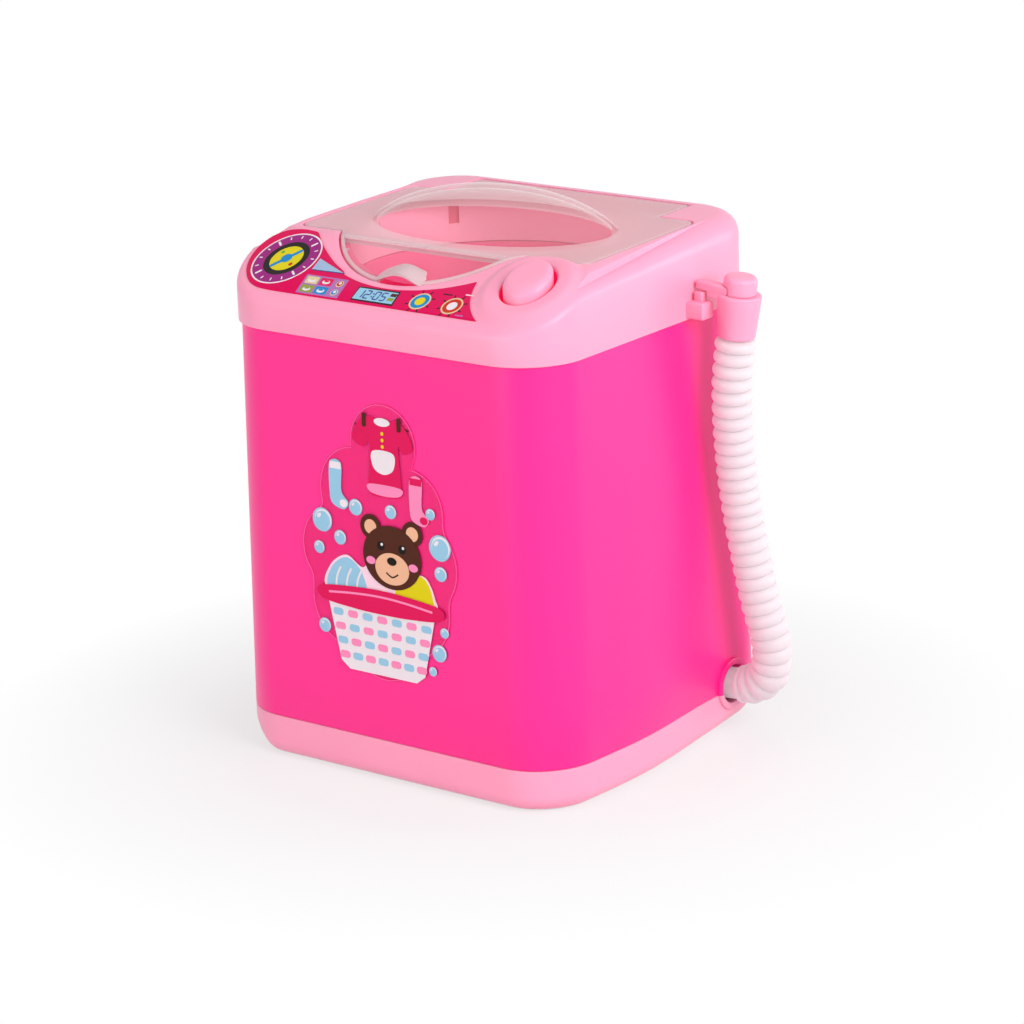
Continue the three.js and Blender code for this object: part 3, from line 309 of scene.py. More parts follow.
def sweep(end, steps):
    """Even steps from nought to an angle."""
    return [end * k / steps for k in range(steps + 1)]


def arc(x, y, radius, start, end, steps):
    turns = [start + a for a in sweep(end - start, steps)]
    return [(x + radius * math.cos(a), y + radius * math.sin(a)) for a in turns]


def circle(x, y, radius, steps=FINE):
    return arc(x, y, radius, 0, TURN, steps)[:-1]


def rounded_rectangle(width, depth, radius, steps=CORNER_STEPS, x=0, y=0, rear=None, between=0):
    """A rectangle with round corners. The rear corners may have a radius of their own, and the
    right and left sides may have points between their ends."""
    points = []
    for sx, sy, start in ((1, -1, -QUARTER), (1, 1, 0), (-1, 1, QUARTER), (-1, -1, 2 * QUARTER)):
        r = radius if sy < 0 or rear is None else rear
        corner = arc(x + sx * (width / 2 - r), y + sy * (depth / 2 - r), r, start, start + QUARTER, steps)
        if points and between and sx == points[-1][0] / abs(points[-1][0]):
            (ax, ay), (bx, by) = points[-1], corner[0]
            shares = [i / between for i in range(1, between)]
            points += [(ax + (bx - ax) * share, ay + (by - ay) * share) for share in shares]
        points += corner
    return points


def level(points, z):
    return [(x, y, z) for x, y in points]


def lay(points, height):
    """Plan points set on a surface."""
    return [(x, y, height(x, y)) for x, y in points]


def footprint(z, inset):
    share = max((z - LOW_SEAM) / (HIGH_SEAM - LOW_SEAM), 0)
    width = BODY_WIDTH_BASE + (BODY_WIDTH_TOP - BODY_WIDTH_BASE) * share
    depth = BODY_DEPTH_BASE + (BODY_DEPTH_TOP - BODY_DEPTH_BASE) * share
    rear = REAR_CORNER + (CORNER_RADIUS - REAR_CORNER) * share
    plan = rounded_rectangle(width - 2 * inset, depth - 2 * inset, CORNER_RADIUS - inset,
                             rear=max(rear - inset, 1), between=12)
    return level([(x + math.copysign(bow(y) * (1 - share), x), y) for x, y in plan], z)


def bow(y):
    """How far the side walls bulge at the lower seam."""
    away = min(abs(y - BOW_Y) / BOW_REACH, 1)
    return SIDE_BOW * (0.5 + 0.5 * math.cos(math.pi * away))


def cover_outline(inset):
    return rounded_rectangle(COVER_WIDTH - 2 * inset, COVER_DEPTH - 2 * inset, COVER_CORNER - inset)


def lid_outline(grow, rear=HINGE_Y + LID_TAIL):
    half = LID_HALF_WIDTH + grow
    radius = LID_ARC_RADIUS + grow
    front = BEND_Y + LID_FRONT_OFFSET - grow
    shoulder = LID_SHOULDER_Y + grow
    neck = LID_NECK + grow
    corner = LID_CORNER + grow
    tilt = math.asin((LID_ARC_Y - front) / radius)
    right = [
        *arc(half - corner, front + corner, corner, -QUARTER, 0, EDGE_STEPS),
        *arc(half - corner, shoulder - corner, corner, 0, QUARTER, EDGE_STEPS),
        (neck, shoulder), (neck, rear),
    ]
    left = [(-x, y) for x, y in reversed(right)]
    return [*arc(LID_ARC_X, LID_ARC_Y, radius, tilt - math.pi, -tilt, 60), *right, *left]


# Heights of the cover's top

def surf(y):
    """The two planes of the top, with a soft crease between them."""
    front = HIGH_SEAM + FRONT_SKIRT + (y - COVER_FRONT) * SLOPE
    bend = HIGH_SEAM + FRONT_SKIRT + SLOPE_DEPTH * SLOPE
    rear = bend + (y - BEND_Y) * REAR_SLOPE
    share = (y - BEND_Y + CREASE) / (2 * CREASE)
    if share <= 0:
        return front
    if share >= 1:
        return rear
    return front - (SLOPE - REAR_SLOPE) * CREASE * share * share


def ease(share):
    share = min(max(share, 0), 1)
    return share * share * (3 - 2 * share)


def cover_height(x, y):
    away = math.hypot(x - BUTTON_X, y - BUTTON_Y)
    return surf(y) + MOUND_HEIGHT * ease((MOUND_FOOT - away) / (MOUND_FOOT - MOUND_TOP))


def front_wall(z):
    share = (z - LOW_SEAM) / (HIGH_SEAM - LOW_SEAM)
    return -(BODY_DEPTH_BASE + (BODY_DEPTH_TOP - BODY_DEPTH_BASE) * share) / 2


# Meshes

class Form:
    """Points and faces of one closed mesh, in millimetres."""

    def __init__(self):
        self.points = []
        self.faces = []
        self.inks = []

    def add(self, points, faces, ink=0):
        start = len(self.points)
        self.points += [tuple(p) for p in points]
        self.faces += [[start + i for i in face] for face in faces]
        self.inks += [ink] * len(faces)
        return self

    def skin(self, rings, closed=False, caps=(True, True), ink=0):
        """A band of faces through rings of equal count."""
        count = len(rings[0])
        points = [p for ring in rings for p in ring]
        faces = []
        bands = len(rings) if closed else len(rings) - 1
        for band in range(bands):
            here, there = band * count, (band + 1) % len(rings) * count
            for i in range(count):
                j = (i + 1) % count
                faces.append((here + i, here + j, there + j, there + i))
        if caps[0] and not closed:
            faces.append(tuple(reversed(range(count))))
        if caps[1] and not closed:
            faces.append(tuple(range(len(points) - count, len(points))))
        return self.add(points, faces, ink)

    def lathe(self, x, y, profile, closed=False):
        """A turned body about the upright line through x, y, from pairs of radius and height."""
        return self.skin([level(circle(x, y, r), z) for r, z in profile], closed)

    def fill(self, outer, holes, height, spread=(), flip=False):
        """Triangles over the plan area between loops of 3-D points, with spare points inside."""
        loops = [outer, *holes]
        points, edges = [], []
        for loop in loops:
            start = len(points)
            points += loop
            edges += [(start + i, start + (i + 1) % len(loop)) for i in range(len(loop))]
        points += lay(spread, height)
        flat = [Vector((p[0], p[1])) for p in points]
        found, _, faces, origin, _, _ = delaunay_2d_cdt(flat, edges, [], 0, 1e-5)
        lifted = []
        for p, source in zip(found, origin):
            lifted.append(points[source[0]] if source else (p.x, p.y, height(p.x, p.y)))
        kept = []
        for face in faces:
            x = sum(lifted[i][0] for i in face) / len(face)
            y = sum(lifted[i][1] for i in face) / len(face)
            if inside(x, y, outer) and not any(inside(x, y, hole) for hole in holes):
                kept.append(tuple(reversed(face)) if flip else tuple(face))
        return self.add(lifted, kept)


def inside(x, y, loop):
    found = False
    last = loop[-1]
    for point in loop:
        if (point[1] > y) != (last[1] > y):
            if x < (last[0] - point[0]) * (y - point[1]) / (last[1] - point[1]) + point[0]:
                found = not found
        last = point
    return found


def clear_of(points, loops, gap):
    """The points that lie no nearer than gap to any corner of the loops."""
    corners = [p for loop in loops for p in loop]
    return [(x, y) for x, y in points
            if all((x - p[0]) ** 2 + (y - p[1]) ** 2 > gap * gap for p in corners)]


def make_object(name, form, materials):
    mesh = bpy.data.meshes.new(name)
    mesh.from_pydata([Vector(p) * MM for p in form.points], [], form.faces)
    for material in materials:
        mesh.materials.append(material)
    mesh.polygons.foreach_set("material_index", form.inks)
    work = bmesh.new()
    work.from_mesh(mesh)
    bmesh.ops.remove_doubles(work, verts=work.verts, dist=2e-6)
    bmesh.ops.dissolve_degenerate(work, edges=work.edges, dist=1e-7)
    bmesh.ops.recalc_face_normals(work, faces=work.faces)
    work.to_mesh(mesh)
    work.free()
    piece = bpy.data.objects.new(name, mesh)
    bpy.context.scene.collection.objects.link(piece)
    return piece


def apply_modifiers(piece):
    graph = bpy.context.evaluated_depsgraph_get()
    mesh = bpy.data.meshes.new_from_object(piece.evaluated_get(graph))
    old = piece.data
    piece.modifiers.clear()
    piece.data = mesh
    bpy.data.meshes.remove(old)


def combine(piece, tools, operation):
    """Cuts the tools from the piece, or joins them to it, and removes them."""
    for cutter in tools:
        step = piece.modifiers.new("step", "BOOLEAN")
        step.operation = operation
        step.solver = "EXACT"
        step.object = cutter
        apply_modifiers(piece)
        mesh = cutter.data
        bpy.data.objects.remove(cutter)
        bpy.data.meshes.remove(mesh)


def tool(form):
    return make_object("tool", form, [])


def place(name, piece, body, slot, *nodes, angle=35):
    """Names a finished piece, shades it and hands it to its body."""
    piece.name = name
    piece.data.shade_smooth()
    piece.data.set_sharp_from_angle(angle=math.radians(angle))
    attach(piece, body)
    if nodes:
        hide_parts(*nodes)


def dress(piece, materials):
    piece.data.materials.clear()
    for material in materials:
        piece.data.materials.append(material)


def box_form(low, high):
    form = Form()
    return form.skin([
        [(low[0], low[1], z), (high[0], low[1], z), (high[0], high[1], z), (low[0], high[1], z)]
        for z in (low[2], high[2])])


def soft_box(low, high, radius):
    """A box with rounded edges, made with a bevel."""
    piece = tool(box_form(low, high))
    bevel = piece.modifiers.new("edge", "BEVEL")
    bevel.width = radius * MM
    bevel.segments = BEVEL_STEPS
    apply_modifiers(piece)
    return piece


def turn_in_tub(piece, angle):
    """Turns a piece made about the origin, and sets it about the tub's upright middle."""
    turn = Matrix.Rotation(angle, 4, "Z")
    piece.data.transform(Matrix.Translation((0, TUB_Y * MM, 0)) @ turn)
    return piece


def rod_x(low, high, y, z, radius, steps=MEDIUM, edge=0):
    """A cylinder along X, with its ends rounded by edge."""
    stations = [(low, radius - edge), (low + edge, radius), (high - edge, radius), (high, radius - edge)]
    if not edge:
        stations = [(low, radius), (high, radius)]
    return Form().skin([[(x, *point) for point in circle(y, z, r, steps)] for x, r in stations])


# Finishes

def linear(code):
    def channel(value):
        return value / 12.92 if value <= 0.04045 else ((value + 0.055) / 1.055) ** 2.4
    return [channel(int(code[i:i + 2], 16) / 255) for i in (0, 2, 4)]


def feed(tree, socket, value):
    """Gives a socket its value, or links it to another node's output."""
    if isinstance(value, bpy.types.NodeSocket):
        tree.links.new(value, socket)
    else:
        socket.default_value = value


def add_node(tree, kind, inputs, **settings):
    node = tree.nodes.new("ShaderNode" + kind)
    for name, value in settings.items():
        setattr(node, name, value)
    for name, value in inputs.items():
        feed(tree, node.inputs[name], value)
    return node


def finish(name, code, roughness, grain=0.5, relief=0.006, tint=0.03, metallic=0, specular=0.5,
           soft=0, soft_radius=2, alpha=None, blotch=12, glow=0):
    """Moulded or printed material: fine grain in its relief, and slow changes of tone and gloss."""
    material = bpy.data.materials.new(name)
    material.use_nodes = True
    tree = material.node_tree
    place_in = add_node(tree, "TexCoord", {}).outputs["Object"]

    def noise(size, detail):
        inputs = {"Vector": place_in, "Scale": 1 / (size * MM), "Detail": detail}
        return add_node(tree, "TexNoise", inputs).outputs["Fac"]

    slow = noise(blotch, 2)
    fine = noise(grain, 3)
    base = linear(code)
    low = (*[c * (1 - tint) for c in base], 1)
    high = (*[min(c * (1 + tint), 1) for c in base], 1)
    tone = add_node(tree, "Mix", {"Factor": slow, 6: low, 7: high}, data_type="RGBA")
    gloss = {"Value": fine, "To Min": roughness * 0.88, "To Max": roughness * 1.12}
    bump = add_node(tree, "Bump", {"Height": fine, "Strength": 0.5, "Distance": relief * MM})
    inputs = {
        "Base Color": tone.outputs[2], "Roughness": add_node(tree, "MapRange", gloss).outputs["Result"],
        "Normal": bump.outputs["Normal"], "Metallic": metallic, "Specular IOR Level": specular,
    }
    if soft:
        inputs["Subsurface Weight"] = soft
        inputs["Subsurface Radius"] = (1, 0.8, 0.85)
        inputs["Subsurface Scale"] = soft_radius * MM
    if glow:
        # Painted glow: emission in the plastic's own colour, painted light that stands in for light passing
        # through the plastic and showing from within
        inputs["Emission Color"] = (*base, 1)
        inputs["Emission Strength"] = glow
    if alpha:
        # Seen head-on the sheet is as clear as the first value says, and at a slant as the second
        facing = add_node(tree, "LayerWeight", {"Blend": 0.5}).outputs["Facing"]
        cover = {"Value": facing, "From Min": alpha[2], "To Min": alpha[0], "To Max": alpha[1]}
        inputs["Alpha"] = add_node(tree, "MapRange", cover).outputs["Result"]
    for socket, value in inputs.items():
        feed(tree, tree.nodes["Principled BSDF"].inputs[socket], value)
    return material


PALE = finish("pale_plastic", "FB9DBC", 0.36, specular=0.4, soft=0.12)
# Painted shade: a darker, redder copy of the pale plastic, with a painted glow, for the faces under the lid
# where shade falls
INNER_SHADE = finish("pale_plastic_painted_shade_inside", "E85C86", 0.4, specular=0.25, soft=0.15, glow=0.1)
# Painted light: a copy of the pale plastic with a painted glow that lightens the collar and the other shaded
# faces under the lid's rear
BACK_LIT = finish("pale_plastic_collar_painted_light", "F29CB8", 0.4, specular=0.25, soft=0.15, glow=0.14)
# Painted shade: deep and half-shaded copies of the pale plastic, with a painted glow, for the button's well
# and the recess floor under the lid's front
DEEP = finish("pale_plastic_in_shade", "F21062", 0.4, specular=0.25, glow=0.3)
SHADE = finish("pale_plastic_half_shade", "D2386E", 0.4, specular=0.25, glow=0.12)
HOT = finish("hot_plastic", "FF1F8C", 0.34, specular=0.42, tint=0.02)
# Painted light: the tub's hot pink is made lighter and given a painted glow, so the shaded tub and agitator
# read brighter
TUB = finish("tub_plastic", "F06094", 0.4, specular=0.3, glow=0.12)
FROST = finish("lid_frosted", "F5C8CF", 0.4, grain=0.3, relief=0.012, specular=0.35, alpha=(0.6, 0.9, 0.75))
# Painted highlight: a whitish, greyer copy of the lid's plastic for its edges, ridge and arch, standing in
# for the light that clear edges catch
RIM_HIGHLIGHT = finish("lid_rim_painted_highlight", "DEC6CA", 0.35, grain=0.3, specular=0.4, alpha=(0.7, 0.92, 0.7))
CLEAR = finish("lid_clear", "FAEBEA", 0.12, tint=0.01, specular=0.4, alpha=(0.07, 0.9, 0.73))
# The hose scatters light inside (subsurface), and a painted glow on top flattens its shading
MILKY = finish("hose_plastic", "C3BABE", 0.45, grain=0.7, specular=0.2, soft=1, soft_radius=5, glow=0.33)
STEEL = finish("plated_steel", "B9BCC2", 0.3, metallic=1, grain=0.25)
BRASS = finish("brass", "D2A04A", 0.35, metallic=1, grain=0.25)
RUBBER = finish("rubber", "26262A", 0.7, relief=0.02)
DARK = finish("dark_plastic", "3A3D42", 0.5, relief=0.015)
CELL = finish("cell_film", "2F6F4E", 0.35)
RED_WIRE = finish("red_wire", "C61D23", 0.45)
STICKER = finish("sticker_film", "FF2C8E", 0.25, tint=0.01, alpha=(0.3, 0.7, 0.6), specular=0.35)

SCREWS = [f"{held}_screw_{i}" for held in ("base", "tub") for i in range(1, 5)]
for material, nodes in (
        (PALE, ["battery_door"]),
        (STEEL, [*SCREWS, "battery_door_screw", "motor_screw_1", "motor_screw_2", "motor", "motor_shaft",
                 "button_spring"]),
        (BRASS, ["contact_plus", "contact_minus", "contact_link"]),
        (CELL, ["battery_1", "battery_2"]),
        (DARK, ["motor_plate", "power_switch"]),
        (RUBBER, ["shaft_seal", "return_wire"]),
        (RED_WIRE, ["supply_wire", "switch_wire"]),
        (MILKY, ["drain_pipe"])):
    for node in nodes:
        dress(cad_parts[node], [material])


# Body shell

def cut_port(piece):
    half = BODY_WIDTH_BASE / 2
    hole = tool(rod_x(half - WALL - 1, half + 2, PORT_Y, PORT_Z, PORT_RADIUS, FINE))
    combine(piece, [hole], "DIFFERENCE")
    return piece


def make_body():
    low, high = LOW_SEAM + FILM_GAP, HIGH_SEAM - FILM_GAP
    rings = [footprint(low, WALL), footprint(low, SEAM_EDGE), footprint(low + SEAM_EDGE / 3, SEAM_EDGE / 3)]
    rings += [footprint(low + SEAM_EDGE + (high - low - SEAM_EDGE) * i / 8, 0) for i in range(8)]
    rings += [footprint(high, 0), footprint(high, WALL)]
    return cut_port(make_object("body_shell_piece", Form().skin(rings, closed=True), [HOT]))


place("body_shell_skin", make_body(), "housing", "hot_plastic", "body_shell")


def make_port_rim(name, material, slot, upper):
    """Half of the ring round the port: a lip on the body, and a plain pad on the base."""
    back = BODY_WIDTH_BASE / 2 - WALL
    front = BODY_WIDTH_BASE / 2 + PORT_RISE
    soft = PORT_RISE / 2
    bend = soft * 0.3
    profile = [(PORT_RIM, back), (PORT_RIM, front - soft), (PORT_RIM - bend, front - bend),
               (PORT_RIM - soft, front), (PORT_RADIUS + soft, front), (PORT_RADIUS + bend, front - bend),
               (PORT_RADIUS, front - soft), (PORT_RADIUS, back)]
    start, end = (-0.3, math.pi + 0.3) if upper else (math.pi, TURN)
    rings = [[(x, PORT_Y + r * math.cos(start + a), PORT_Z + r * math.sin(start + a)) for r, x in profile]
             for a in sweep(end - start, MEDIUM)]
    piece = make_object(name, Form().skin(rings), [material])
    seam = LOW_SEAM + (FILM_GAP if upper else -FILM_GAP)
    low, high = (-200, seam) if upper else (seam, 200)
    combine(piece, [tool(box_form((0, -100, low), (100, 100, high)))], "DIFFERENCE")
    place(name, piece, "housing", slot)


make_port_rim("port_rim", HOT, "hot_plastic", True)
make_port_rim("port_pad", PALE, "pale_plastic", False)


# Base tray

def base_ring(angle):
    """One ring of the rounded lower edge, which is softer far from the near front corner."""
    ring = []
    for (x, y, _), (ix, iy, _) in zip(footprint(0, 0), footprint(0, 1)):
        away = math.hypot(x - BODY_WIDTH_BASE / 2, y + BODY_DEPTH_BASE / 2)
        share = min(max((away - FAR_START) / (FAR_END - FAR_START), 0), 1)
        share *= share * ease((abs(x) - SOFT_START) / SOFT_WIDTH)
        radius = BASE_EDGE + (BASE_EDGE_FAR - BASE_EDGE) * share
        inset = radius * (1 - math.sin(angle))
        ring.append((x + (ix - x) * inset, y + (iy - y) * inset, radius * (1 - math.cos(angle))))
    return ring


def make_base():
    door_low, door_high = [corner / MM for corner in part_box("battery_door")]
    rings = [base_ring(a) for a in sweep(QUARTER, 10)]
    rings += [footprint(LOW_SEAM - SEAM_EDGE / 2, 0), footprint(LOW_SEAM, SEAM_EDGE / 2),
              footprint(LOW_SEAM, WALL), footprint(BASE_EDGE, WALL), footprint(BASE_FLOOR, WALL + 2)]
    form = Form().skin(rings, caps=(False, False))
    gap = DOOR_GAP
    tab_low, tab_high = door_low.x - gap, door_low.x + DOOR_TAB - gap
    middle = (door_low.y + door_high.y) / 2
    reach = DOOR_TAB + gap
    slab = [(door_high.x + gap, door_low.y - gap), (door_high.x + gap, door_high.y + gap),
            (tab_high, door_high.y + gap), (tab_high, middle + reach), (tab_low, middle + reach),
            (tab_low, middle - reach), (tab_high, middle - reach), (tab_high, door_low.y - gap)]
    recess = level(slab, 0)
    form.skin([recess, level(slab, DOOR_RECESS)], caps=(False, True))
    mouths, bosses = [], []
    for i in range(1, 5):
        low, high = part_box(f"base_screw_{i}")
        x, y = (low.x + high.x) / 2 / MM, (low.y + high.y) / 2 / MM
        for radius, foot, top, holes in ((SCREW_MOUTH, 0, SCREW_DEPTH, mouths),
                                         (SCREW_BOSS, BASE_FLOOR, BOSS_TOP, bosses)):
            ring = circle(x, y, radius, MEDIUM)
            form.skin([level(ring, foot), level(ring, top)], caps=(False, True))
            holes.append(level(ring, foot))
    form.fill(rings[0], [recess, *mouths], lambda x, y: 0, flip=True)
    form.fill(rings[-1], bosses, lambda x, y: BASE_FLOOR)
    return cut_port(make_object("base", form, [PALE]))


place("base_tray_shell", make_base(), "housing", "pale_plastic", "base_tray")


# Top cover

def edge_radius(y):
    share = ease((y - BEND_Y + 4) / 8)
    return SLOPE_EDGE + (TOP_EDGE - SLOPE_EDGE) * share


def cover_ring(angle):
    """One ring of the rounded upper edge: angle 0 is on the wall, a quarter turn on the top."""
    ring = []
    for (x, y), (ix, iy) in zip(cover_outline(0), cover_outline(1)):
        radius = edge_radius(y)
        inset = radius * (1 - math.cos(angle))
        px, py = x + (ix - x) * inset, y + (iy - y) * inset
        ring.append((px, py, cover_height(px, py) - radius * (1 - math.sin(angle))))
    return ring


def rim_rings(outline, radius, height):
    """Rings from the top surface over a rounded rim down to the wall of an opening."""
    rings = []
    for angle in sweep(QUARTER, RIM_STEPS):
        drop = radius * (1 - math.cos(angle))
        ring = outline(radius * (1 - math.sin(angle)))
        rings.append([(x, y, z - drop) for x, y, z in lay(ring, height)])
    return rings


def top_points(loops):
    """Spare points for the top: a grid, close rows over the crease, and rings round the mound."""
    points = []
    rows = int(COVER_DEPTH / GRID)
    columns = int(COVER_WIDTH / GRID)
    for j in range(rows):
        for i in range(columns):
            x = -COVER_WIDTH / 2 + (i + 0.5 + 0.25 * (-1) ** j) * GRID
            y = -COVER_DEPTH / 2 + (j + 0.5) * GRID
            if abs(y - BEND_Y) > CREASE + 1 and math.hypot(x - BUTTON_X, y - BUTTON_Y) > MOUND_FOOT + 1:
                points.append((x, y))
    for j in range(-6, 7):
        y = BEND_Y + j * CREASE / 6
        for i in range(columns):
            x = -COVER_WIDTH / 2 + (i + 0.5) * GRID
            if math.hypot(x - BUTTON_X, y - BUTTON_Y) > MOUND_FOOT + 0.6:
                points.append((x, y))
    for k in range(9):
        radius = MOUND_TOP - 0.6 + (MOUND_FOOT + 0.6 - MOUND_TOP + 0.6) * k / 8
        points += circle(BUTTON_X, BUTTON_Y, radius, 80)
    outer = loops[0]
    points = [p for p in points if inside(*p, outer) and not any(inside(*p, loop) for loop in loops[1:])]
    return clear_of(points, loops, 0.35)


def plain_top(x, y):
    return surf(y)


def ceiling(x, y):
    return surf(y) - CEILING_DEPTH - TROUGH_DROP * ease((y - TROUGH_START) / TROUGH_EASE)


def recess_floor(x, y):
    return surf(y) - RECESS_DEPTH


def make_cover():
    low = HIGH_SEAM
    edge = [cover_ring(a) for a in sweep(QUARTER, EDGE_STEPS)]
    foot = low + SEAM_EDGE
    walls = [level(cover_outline(inset), z) for inset, z in
             ((WALL, low), (0.3, low), (0.08, low + 0.1), (0, foot))]
    walls.append([(x, y, foot + (z - foot) / 2) for x, y, z in edge[0]])
    form = Form().skin(walls + edge, caps=(False, False))

    rear = HINGE_Y + TROUGH_REACH
    recess = rim_rings(lambda grow: lid_outline(LID_GAP + grow, rear), RECESS_RIM, plain_top)
    floor = lay(lid_outline(LID_GAP, rear), recess_floor)
    form.skin(recess + [floor], caps=(False, False))

    def in_well(grow):
        return circle(BUTTON_X, BUTTON_Y, WELL_RADIUS + grow)

    well = rim_rings(in_well, WELL_RIM, cover_height)
    well_ceiling = lay(in_well(WELL_WALL), ceiling)
    tube = [level(in_well(0), WELL_BOTTOM), level(in_well(WELL_WALL), WELL_BOTTOM), well_ceiling]
    form.skin(well + tube, caps=(False, False))

    def in_mouth(grow):
        return circle(0, TUB_Y, MOUTH_RADIUS + grow)

    mouth = rim_rings(in_mouth, MOUTH_RIM, recess_floor)
    collar_ceiling = lay(in_mouth(COLLAR_WALL), ceiling)
    collar = [level(in_mouth(0), COLLAR_BOTTOM), level(in_mouth(COLLAR_WALL), COLLAR_BOTTOM), collar_ceiling]
    form.skin(mouth + collar, caps=(False, False))

    loops = [edge[-1], recess[0], well[0]]
    form.fill(loops[0], loops[1:], cover_height, top_points(loops))
    shade = [(ARCH_X + i * SHADE_GRID, ARCH_SHADE_Y - j * SHADE_GRID)
             for i in range(-8, 9) for j in range(-1, 5)]
    shade = [p for p in shade if inside(*p, floor) and not inside(*p, mouth[0])]
    form.fill(floor, [mouth[0]], recess_floor, clear_of(shade, [floor, mouth[0]], 0.3))
    under = lay(cover_outline(WALL), ceiling)
    form.skin([under, level(cover_outline(WALL), low)], caps=(False, False))
    spare = [(x, BEND_Y + j * CREASE / 3) for j in range(-3, 4) for x in (-40, -20, 0, 20, 40)]
    spare += [(x, y) for y in (29, 30.2, 31.5) for x in range(-42, 43, 6)]
    holes = [collar_ceiling, well_ceiling]
    spare = [p for p in spare if inside(*p, under) and not any(inside(*p, hole) for hole in holes)]
    form.fill(under, holes, ceiling, clear_of(spare, [under, *holes], 0.5), flip=True)
    cover = make_object("cover", form, [PALE])
    cut_cover(cover)
    add_bracket(cover)
    shade_cover(cover)
    return cover


def cut_cover(cover):
    """Cuts the hinge's trough, the bores of its pins and the slot in the collar."""
    hinge_z = surf(HINGE_Y) - HINGE_DROP
    half = LID_NECK + LID_GAP - CUT_GAP
    top = surf(HINGE_Y) - RECESS_DEPTH + 0.5
    trough = tool(box_form((-half, HINGE_Y - TROUGH_REACH, hinge_z - TROUGH_REACH),
                           (half, HINGE_Y + TROUGH_REACH - CUT_GAP, top)))
    end = PIN_END + PIN_GAP
    bores = tool(rod_x(-end, end, HINGE_Y, hinge_z, PIN_RADIUS + PIN_GAP))
    slot = tool(box_form((MOUTH_RADIUS - 1, -SLOT_WIDTH / 2, SLOT_LOW),
                         (MOUTH_RADIUS + SLOT_DEPTH, SLOT_WIDTH / 2, SLOT_LOW + SLOT_HEIGHT)))
    combine(cover, [trough, bores, turn_in_tub(slot, math.radians(SLOT_ANGLE))], "DIFFERENCE")


def add_bracket(cover):
    face = COVER_WIDTH / 2
    rear = BRACKET_Y + BRACKET_WIDTH
    top = BRACKET_LOW + BRACKET_HEIGHT
    block = soft_box((face - WALL / 2, BRACKET_Y, BRACKET_LOW), (face + BRACKET_REACH, rear, top), 0.45)
    post = face + POST_OFFSET
    upright = soft_box((post, rear - POST_WIDTH, BRACKET_LOW + 0.6),
                       (post + POST_THICKNESS, rear - CUT_GAP, top + POST_HEIGHT), 0.3)
    combine(block, [upright], "UNION")
    combine(cover, [block], "UNION")


def shade_cover(cover):
    """Painted shade and light: under the lid and in the button's well the faces get darker, glowing copies of
    the pale plastic for the shade there, and the collar a lighter glowing copy.
    """
    dress(cover, [PALE, INNER_SHADE, DEEP, BACK_LIT, SHADE])
    recess = lid_outline(LID_GAP + CUT_GAP, HINGE_Y + TROUGH_REACH)
    for face in cover.data.polygons:
        x, y, z = face.center / MM
        from_button = math.hypot(x - BUTTON_X, y - BUTTON_Y)
        from_arch = math.hypot(x - ARCH_X, y - LID_ARC_Y + LID_ARC_RADIUS)
        face.material_index = 0
        if from_button < WELL_RADIUS + 0.1 and z < surf(y) + WELL_RIM:
            face.material_index = 2
        elif inside(x, y, recess) and COLLAR_BOTTOM < z < surf(y) - RECESS_RIM / 2:
            floor = face.normal.z > 0.5
            beyond_mouth = math.hypot(x, y - TUB_Y) > MOUTH_RADIUS + 0.1
            if floor and from_arch < ARCH_HALF_WIDTH and y < ARCH_SHADE_Y:
                face.material_index = 2
            elif floor and beyond_mouth and x > ARCH_X and y < BEND_Y - CREASE:
                face.material_index = 4
            elif y < BEND_Y + CREASE or (y > 0 and beyond_mouth and z < recess_floor(x, y) - 0.1):
                face.material_index = 1
            else:
                face.material_index = 3


place("top_cover_shell", make_cover(), "housing", "pale_plastic", "top_cover")


# Wash tub

def tub_reach(z):
    """The inner radius of the tub's tapering wall."""
    slope = (MOUTH_RADIUS - TUB_FLOOR_RADIUS) / (TUB_TOP - TUB_FLOOR_TOP)
    return TUB_FLOOR_RADIUS + slope * (z - TUB_FLOOR_TOP)


def make_tub():
    foot = TUB_FLOOR_RADIUS + TUB_WALL
    flange = MOUTH_RADIUS + TUB_FLANGE
    profile = [(TUB_BORE, TUB_FLOOR_Z), (foot - 2, TUB_FLOOR_Z), (foot, TUB_FLOOR_Z + 2),
               (MOUTH_RADIUS + TUB_WALL, TUB_FLANGE_BOTTOM), (flange, TUB_FLANGE_BOTTOM), (flange, TUB_TOP),
               (MOUTH_RADIUS + 0.3, TUB_TOP), (MOUTH_RADIUS, TUB_TOP - 0.3)]
    for angle in sweep(QUARTER, 8):
        z = TUB_FLOOR_TOP + TUB_FILLET * (1 - math.sin(angle))
        profile.append((tub_reach(z) - TUB_FILLET * (1 - math.cos(angle)), z))
    profile.append((TUB_BORE, TUB_FLOOR_TOP))
    tub = make_object("tub", Form().lathe(0, TUB_Y, profile, closed=True), [TUB])
    ribs = []
    for i in range(RIB_COUNT):
        rings = []
        for z in (TUB_FLOOR_TOP + RIB_MARGIN, TUB_TOP - RIB_MARGIN):
            reach = tub_reach(z)
            curve = [(reach - RIB_DEPTH * math.sin(a), RIB_HALF * math.cos(a)) for a in sweep(math.pi, 12)]
            root = reach + RIB_ROOT
            rings.append(level([(root, RIB_HALF), *curve, (root, -RIB_HALF)], z))
        ribs.append(turn_in_tub(tool(Form().skin(rings)), QUARTER + i * TURN / RIB_COUNT))
    combine(tub, ribs, "UNION")
    return tub


place("wash_tub_cup", make_tub(), "housing", "tub_plastic", "wash_tub")


# Agitator

